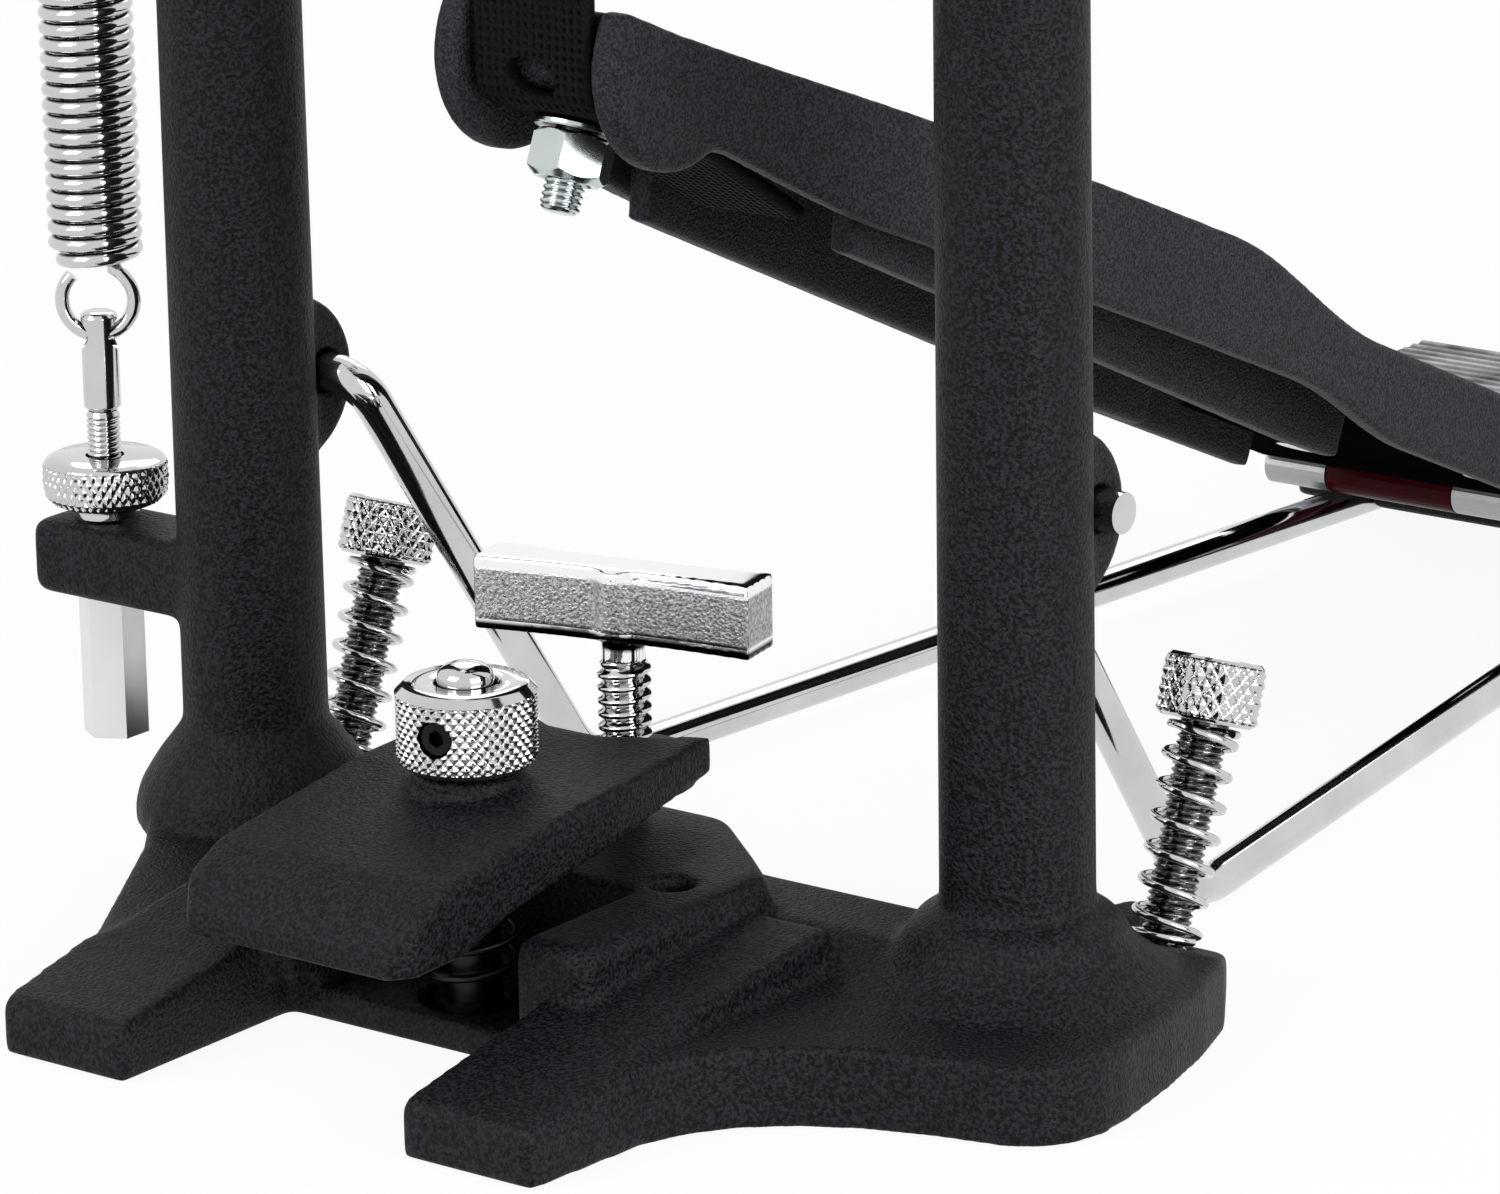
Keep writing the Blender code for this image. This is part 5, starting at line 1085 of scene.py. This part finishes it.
def strap():
    """Woven strap: round the wheel, free, and under the toe."""
    radius = STRAP_WHEEL_RADIUS
    centre = Vector((0.0, AXLE_HEIGHT))
    way = STRAP_TOE - centre
    angle = math.atan2(way.y, way.x) - math.acos(radius / way.length)
    wrap = []
    for i in range(STRAP_WRAP_STEPS + 1):
        turn = angle - math.radians(STRAP_WRAP_START + STRAP_WRAP * i / STRAP_WRAP_STEPS)
        wrap.append(centre + radius * Vector((math.cos(turn), math.sin(turn))))
    stand_in(ribbon("strap_wrap", wrap), "nylon", "axle", "strap_on_wheel")
    leave = centre + radius * Vector((math.cos(angle), math.sin(angle)))
    stand_in(ribbon("strap_free", between(leave, STRAP_TOE, WEAVE_STEP)), "nylon", "strap", "strap_span")
    strap_at_toe()


def tread():
    """Bright ribbed plate on the heel."""
    low, high = map(Vector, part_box("tread_plate"))
    ribs = 9
    rib_steps = 8
    rib_depth = 0.0007
    edge = 0.0006
    least_height = low.z + 0.0002
    pitch = (high.y - low.y) / ribs
    line = []
    for i in range(ribs * rib_steps + 1):
        f = i / rib_steps
        rise = max(0.0, math.sin(2 * math.pi * (f - 0.25)) * 0.5 + 0.5) ** 0.7
        line.append((low.y + pitch * f, high.z - rib_depth * (1 - rise)))
    work = bmesh.new()
    rows = []
    for x, drop in ((low.x, edge), (low.x + edge, 0.0), (high.x - edge, 0.0), (high.x, edge)):
        rows.append([work.verts.new((x, y, max(z - drop, least_height))) for y, z in line])
    for first, last in zip(rows, rows[1:]):
        for i in range(len(line) - 1):
            work.faces.new((first[i], first[i + 1], last[i + 1], last[i]))
    border = bmesh.ops.extrude_edge_only(work, edges=[e for e in work.edges if e.is_boundary])
    for vert in border["geom"]:
        if isinstance(vert, bmesh.types.BMVert):
            vert.co.z = low.z
    bmesh.ops.holes_fill(work, edges=[e for e in work.edges if e.is_boundary])
    plate = from_bmesh("ribbed_tread", work)
    smooth_mesh(plate.data, angle=40)
    stand_in(plate, "tread", "frame", "tread_plate")


def camera():
    """Camera of the photograph."""
    data = bpy.data.cameras.new("photo_camera")
    data.sensor_width = SENSOR_WIDTH
    data.lens = FOCAL_PIXELS / IMAGE_WIDTH * SENSOR_WIDTH
    data.clip_start = 0.01
    view = bpy.data.objects.new("photo_camera", data)
    bpy.context.scene.collection.objects.link(view)
    flat = math.cos(CAMERA_ELEVATION)
    back = Vector((
        math.sin(CAMERA_AZIMUTH) * flat,
        -math.cos(CAMERA_AZIMUTH) * flat,
        math.sin(CAMERA_ELEVATION),
    ))
    level = Vector((math.cos(CAMERA_AZIMUTH), math.sin(CAMERA_AZIMUTH), 0))
    upright = back.cross(level)
    right = level * math.cos(CAMERA_ROLL) + upright * math.sin(CAMERA_ROLL)
    up = upright * math.cos(CAMERA_ROLL) - level * math.sin(CAMERA_ROLL)
    view.matrix_world = Matrix.Translation(CAMERA_PLACE) @ Matrix((right, up, back)).transposed().to_4x4()
    bpy.context.scene.camera = view


def lamp(name, place, target, size, power):
    """Soft box that faces a target."""
    data = bpy.data.lights.new(name, "AREA")
    data.shape = "RECTANGLE"
    data.size, data.size_y = size
    data.energy = power
    light = bpy.data.objects.new(name, data)
    bpy.context.scene.collection.objects.link(light)
    facing = (Vector(target) - Vector(place)).to_track_quat("-Z", "Y")
    light.matrix_world = Matrix.Translation(place) @ facing.to_matrix().to_4x4()


def seen_or_mirrored(tree):
    """1 for rays from the camera and for reflections, 0 for the light that falls on things."""
    path = tree.nodes.new("ShaderNodeLightPath")
    seen = path.outputs["Is Camera Ray"]
    for kind in ("Is Glossy Ray", "Is Transmission Ray"):
        either = tree.nodes.new("ShaderNodeMath")
        either.operation = "MAXIMUM"
        tree.links.new(seen, either.inputs[0])
        tree.links.new(path.outputs[kind], either.inputs[1])
        seen = either.outputs[0]
    return seen


def dark_card(tree, toward, reach, soft):
    """0 for reflections of a dark card that stands in a direction, 1 for the rest."""
    way = tree.nodes.new("ShaderNodeTexCoord")
    dot = tree.nodes.new("ShaderNodeVectorMath")
    dot.operation = "DOT_PRODUCT"
    dot.inputs[1].default_value = Vector(toward).normalized()
    tree.links.new(way.outputs["Generated"], dot.inputs[0])
    edge = tree.nodes.new("ShaderNodeMapRange")
    edge.inputs["From Min"].default_value = math.cos(math.radians(reach - soft))
    edge.inputs["From Max"].default_value = math.cos(math.radians(reach + soft))
    tree.links.new(dot.outputs["Value"], edge.inputs["Value"])
    return edge.outputs["Result"]


def white_world():
    """White surroundings with a soft light, and a dark card for bright metal to mirror."""
    world = bpy.data.worlds.new("studio")
    bpy.context.scene.world = world
    world.use_nodes = True
    tree = world.node_tree
    lit = tree.nodes["Background"]
    lit.inputs["Color"].default_value = (0.94, 0.97, 1.0, 1)
    lit.inputs["Strength"].default_value = AMBIENT
    white = tree.nodes.new("ShaderNodeBackground")
    white.inputs["Color"].default_value = (1, 1, 1, 1)
    path = tree.nodes.new("ShaderNodeLightPath")
    cards = tree.nodes.new("ShaderNodeMath")
    cards.operation = "MAXIMUM"
    tree.links.new(dark_card(tree, (1.0, 0.08, 0.18), reach=24, soft=4), cards.inputs[0])
    tree.links.new(path.outputs["Is Camera Ray"], cards.inputs[1])
    tree.links.new(cards.outputs[0], white.inputs["Strength"])
    mix = tree.nodes.new("ShaderNodeMixShader")
    tree.links.new(seen_or_mirrored(tree), mix.inputs["Fac"])
    tree.links.new(lit.outputs[0], mix.inputs[1])
    tree.links.new(white.outputs[0], mix.inputs[2])
    tree.links.new(mix.outputs[0], tree.nodes["World Output"].inputs["Surface"])


def pale_floor():
    """Floor that is white to the eye and keeps a faint shadow."""
    work = bmesh.new()
    bmesh.ops.create_grid(work, x_segments=8, y_segments=8, size=3.0)
    floor = from_bmesh("floor", work)
    floor.location.z = -0.0002
    sheet = bpy.data.materials.new("pale_floor")
    sheet.use_nodes = True
    tree = sheet.node_tree
    tree.nodes.remove(tree.nodes["Principled BSDF"])
    paper = tree.nodes.new("ShaderNodeBsdfDiffuse")
    paper.inputs["Color"].default_value = (0.90, 0.90, 0.90, 1)
    glow = tree.nodes.new("ShaderNodeEmission")
    glow.inputs["Color"].default_value = (1, 1, 1, 1)
    shade = tree.nodes.new("ShaderNodeMixShader")
    shade.inputs["Fac"].default_value = 0.93
    tree.links.new(paper.outputs[0], shade.inputs[1])
    tree.links.new(glow.outputs[0], shade.inputs[2])
    mix = tree.nodes.new("ShaderNodeMixShader")
    tree.links.new(seen_or_mirrored(tree), mix.inputs["Fac"])
    tree.links.new(paper.outputs[0], mix.inputs[1])
    tree.links.new(shade.outputs[0], mix.inputs[2])
    tree.links.new(mix.outputs[0], tree.nodes["Material Output"].inputs["Surface"])
    floor.data.materials.append(sheet)


def studio():
    """Surroundings, floor and lamps."""
    white_world()
    pale_floor()
    middle = (0, 0.03, 0.08)
    lamp("key", (-0.35, -1.15, 0.75), middle, size=(0.9, 0.9), power=12)
    lamp("fill", (1.20, -0.20, 0.40), middle, size=(0.9, 0.9), power=15)
    lamp("back", (-0.50, 0.90, 0.90), middle, size=(1.0, 0.6), power=4)


def pieces():
    """Every piece, new or kept from the solids."""
    cast_copy("pedestal_frame", "frame", "powder", voxel=0.00045, rounds=26, kept=0.25)
    cast_copy("footboard", "footboard", "paint", voxel=0.00045, rounds=16, kept=0.25)
    cast_copy("heel_plate", "frame", "powder", voxel=0.00050, rounds=14, kept=0.25)
    plate = cast_copy("clamp_plate", "clamp", "powder", voxel=0.00040, rounds=22, kept=0.35)
    drilled(plate, WING_SCREW_ROOM, Matrix.Translation((0, WING_SCREW_Y, PLATFORM_HEIGHT)), reach=0.02)
    plate.data.shade_smooth()
    cast_copy("beater_felt", "beater", "felt", voxel=0.0009, rounds=8)
    cast_copy("heel_mat", "frame", "rubber", voxel=0.0006, rounds=2)
    return_spring()
    spurs()
    clamp_collar()
    clamp_spring()
    clamp_stud()
    tension_nut()
    eye_bolt()
    wing_screw()
    strap_fastener()
    side_rods()
    strap()
    tread()
    solids = {
        "chrome": ("axle", "beater_key_screw", "beater_rod", "hinge_pin", "hub_key_screw",
                   "rocker_key_screw"),
        "satin": ("lock_nut",),
        "zinc": ("left_bearing_inner", "left_bearing_outer", "right_bearing_inner", "right_bearing_outer",
                 "left_leaf_screw", "right_leaf_screw", "spring_stirrup", "strap_bar", "strap_screw"),
        "aluminium": ("beater_hub", "drive_wheel", "rocker"),
        "hinge": ("board_hinge_leaf",),
        "red": ("heel_hinge_leaf",),
        "plastic": ("beater_core",),
        "oxide": ("collar_set_screw",),
    }
    for look, names in solids.items():
        for name in names:
            keep_solid(name, look, EDGE_ROUND)


bpy.context.scene.view_settings.view_transform = "Standard"
camera()
studio()
pieces()
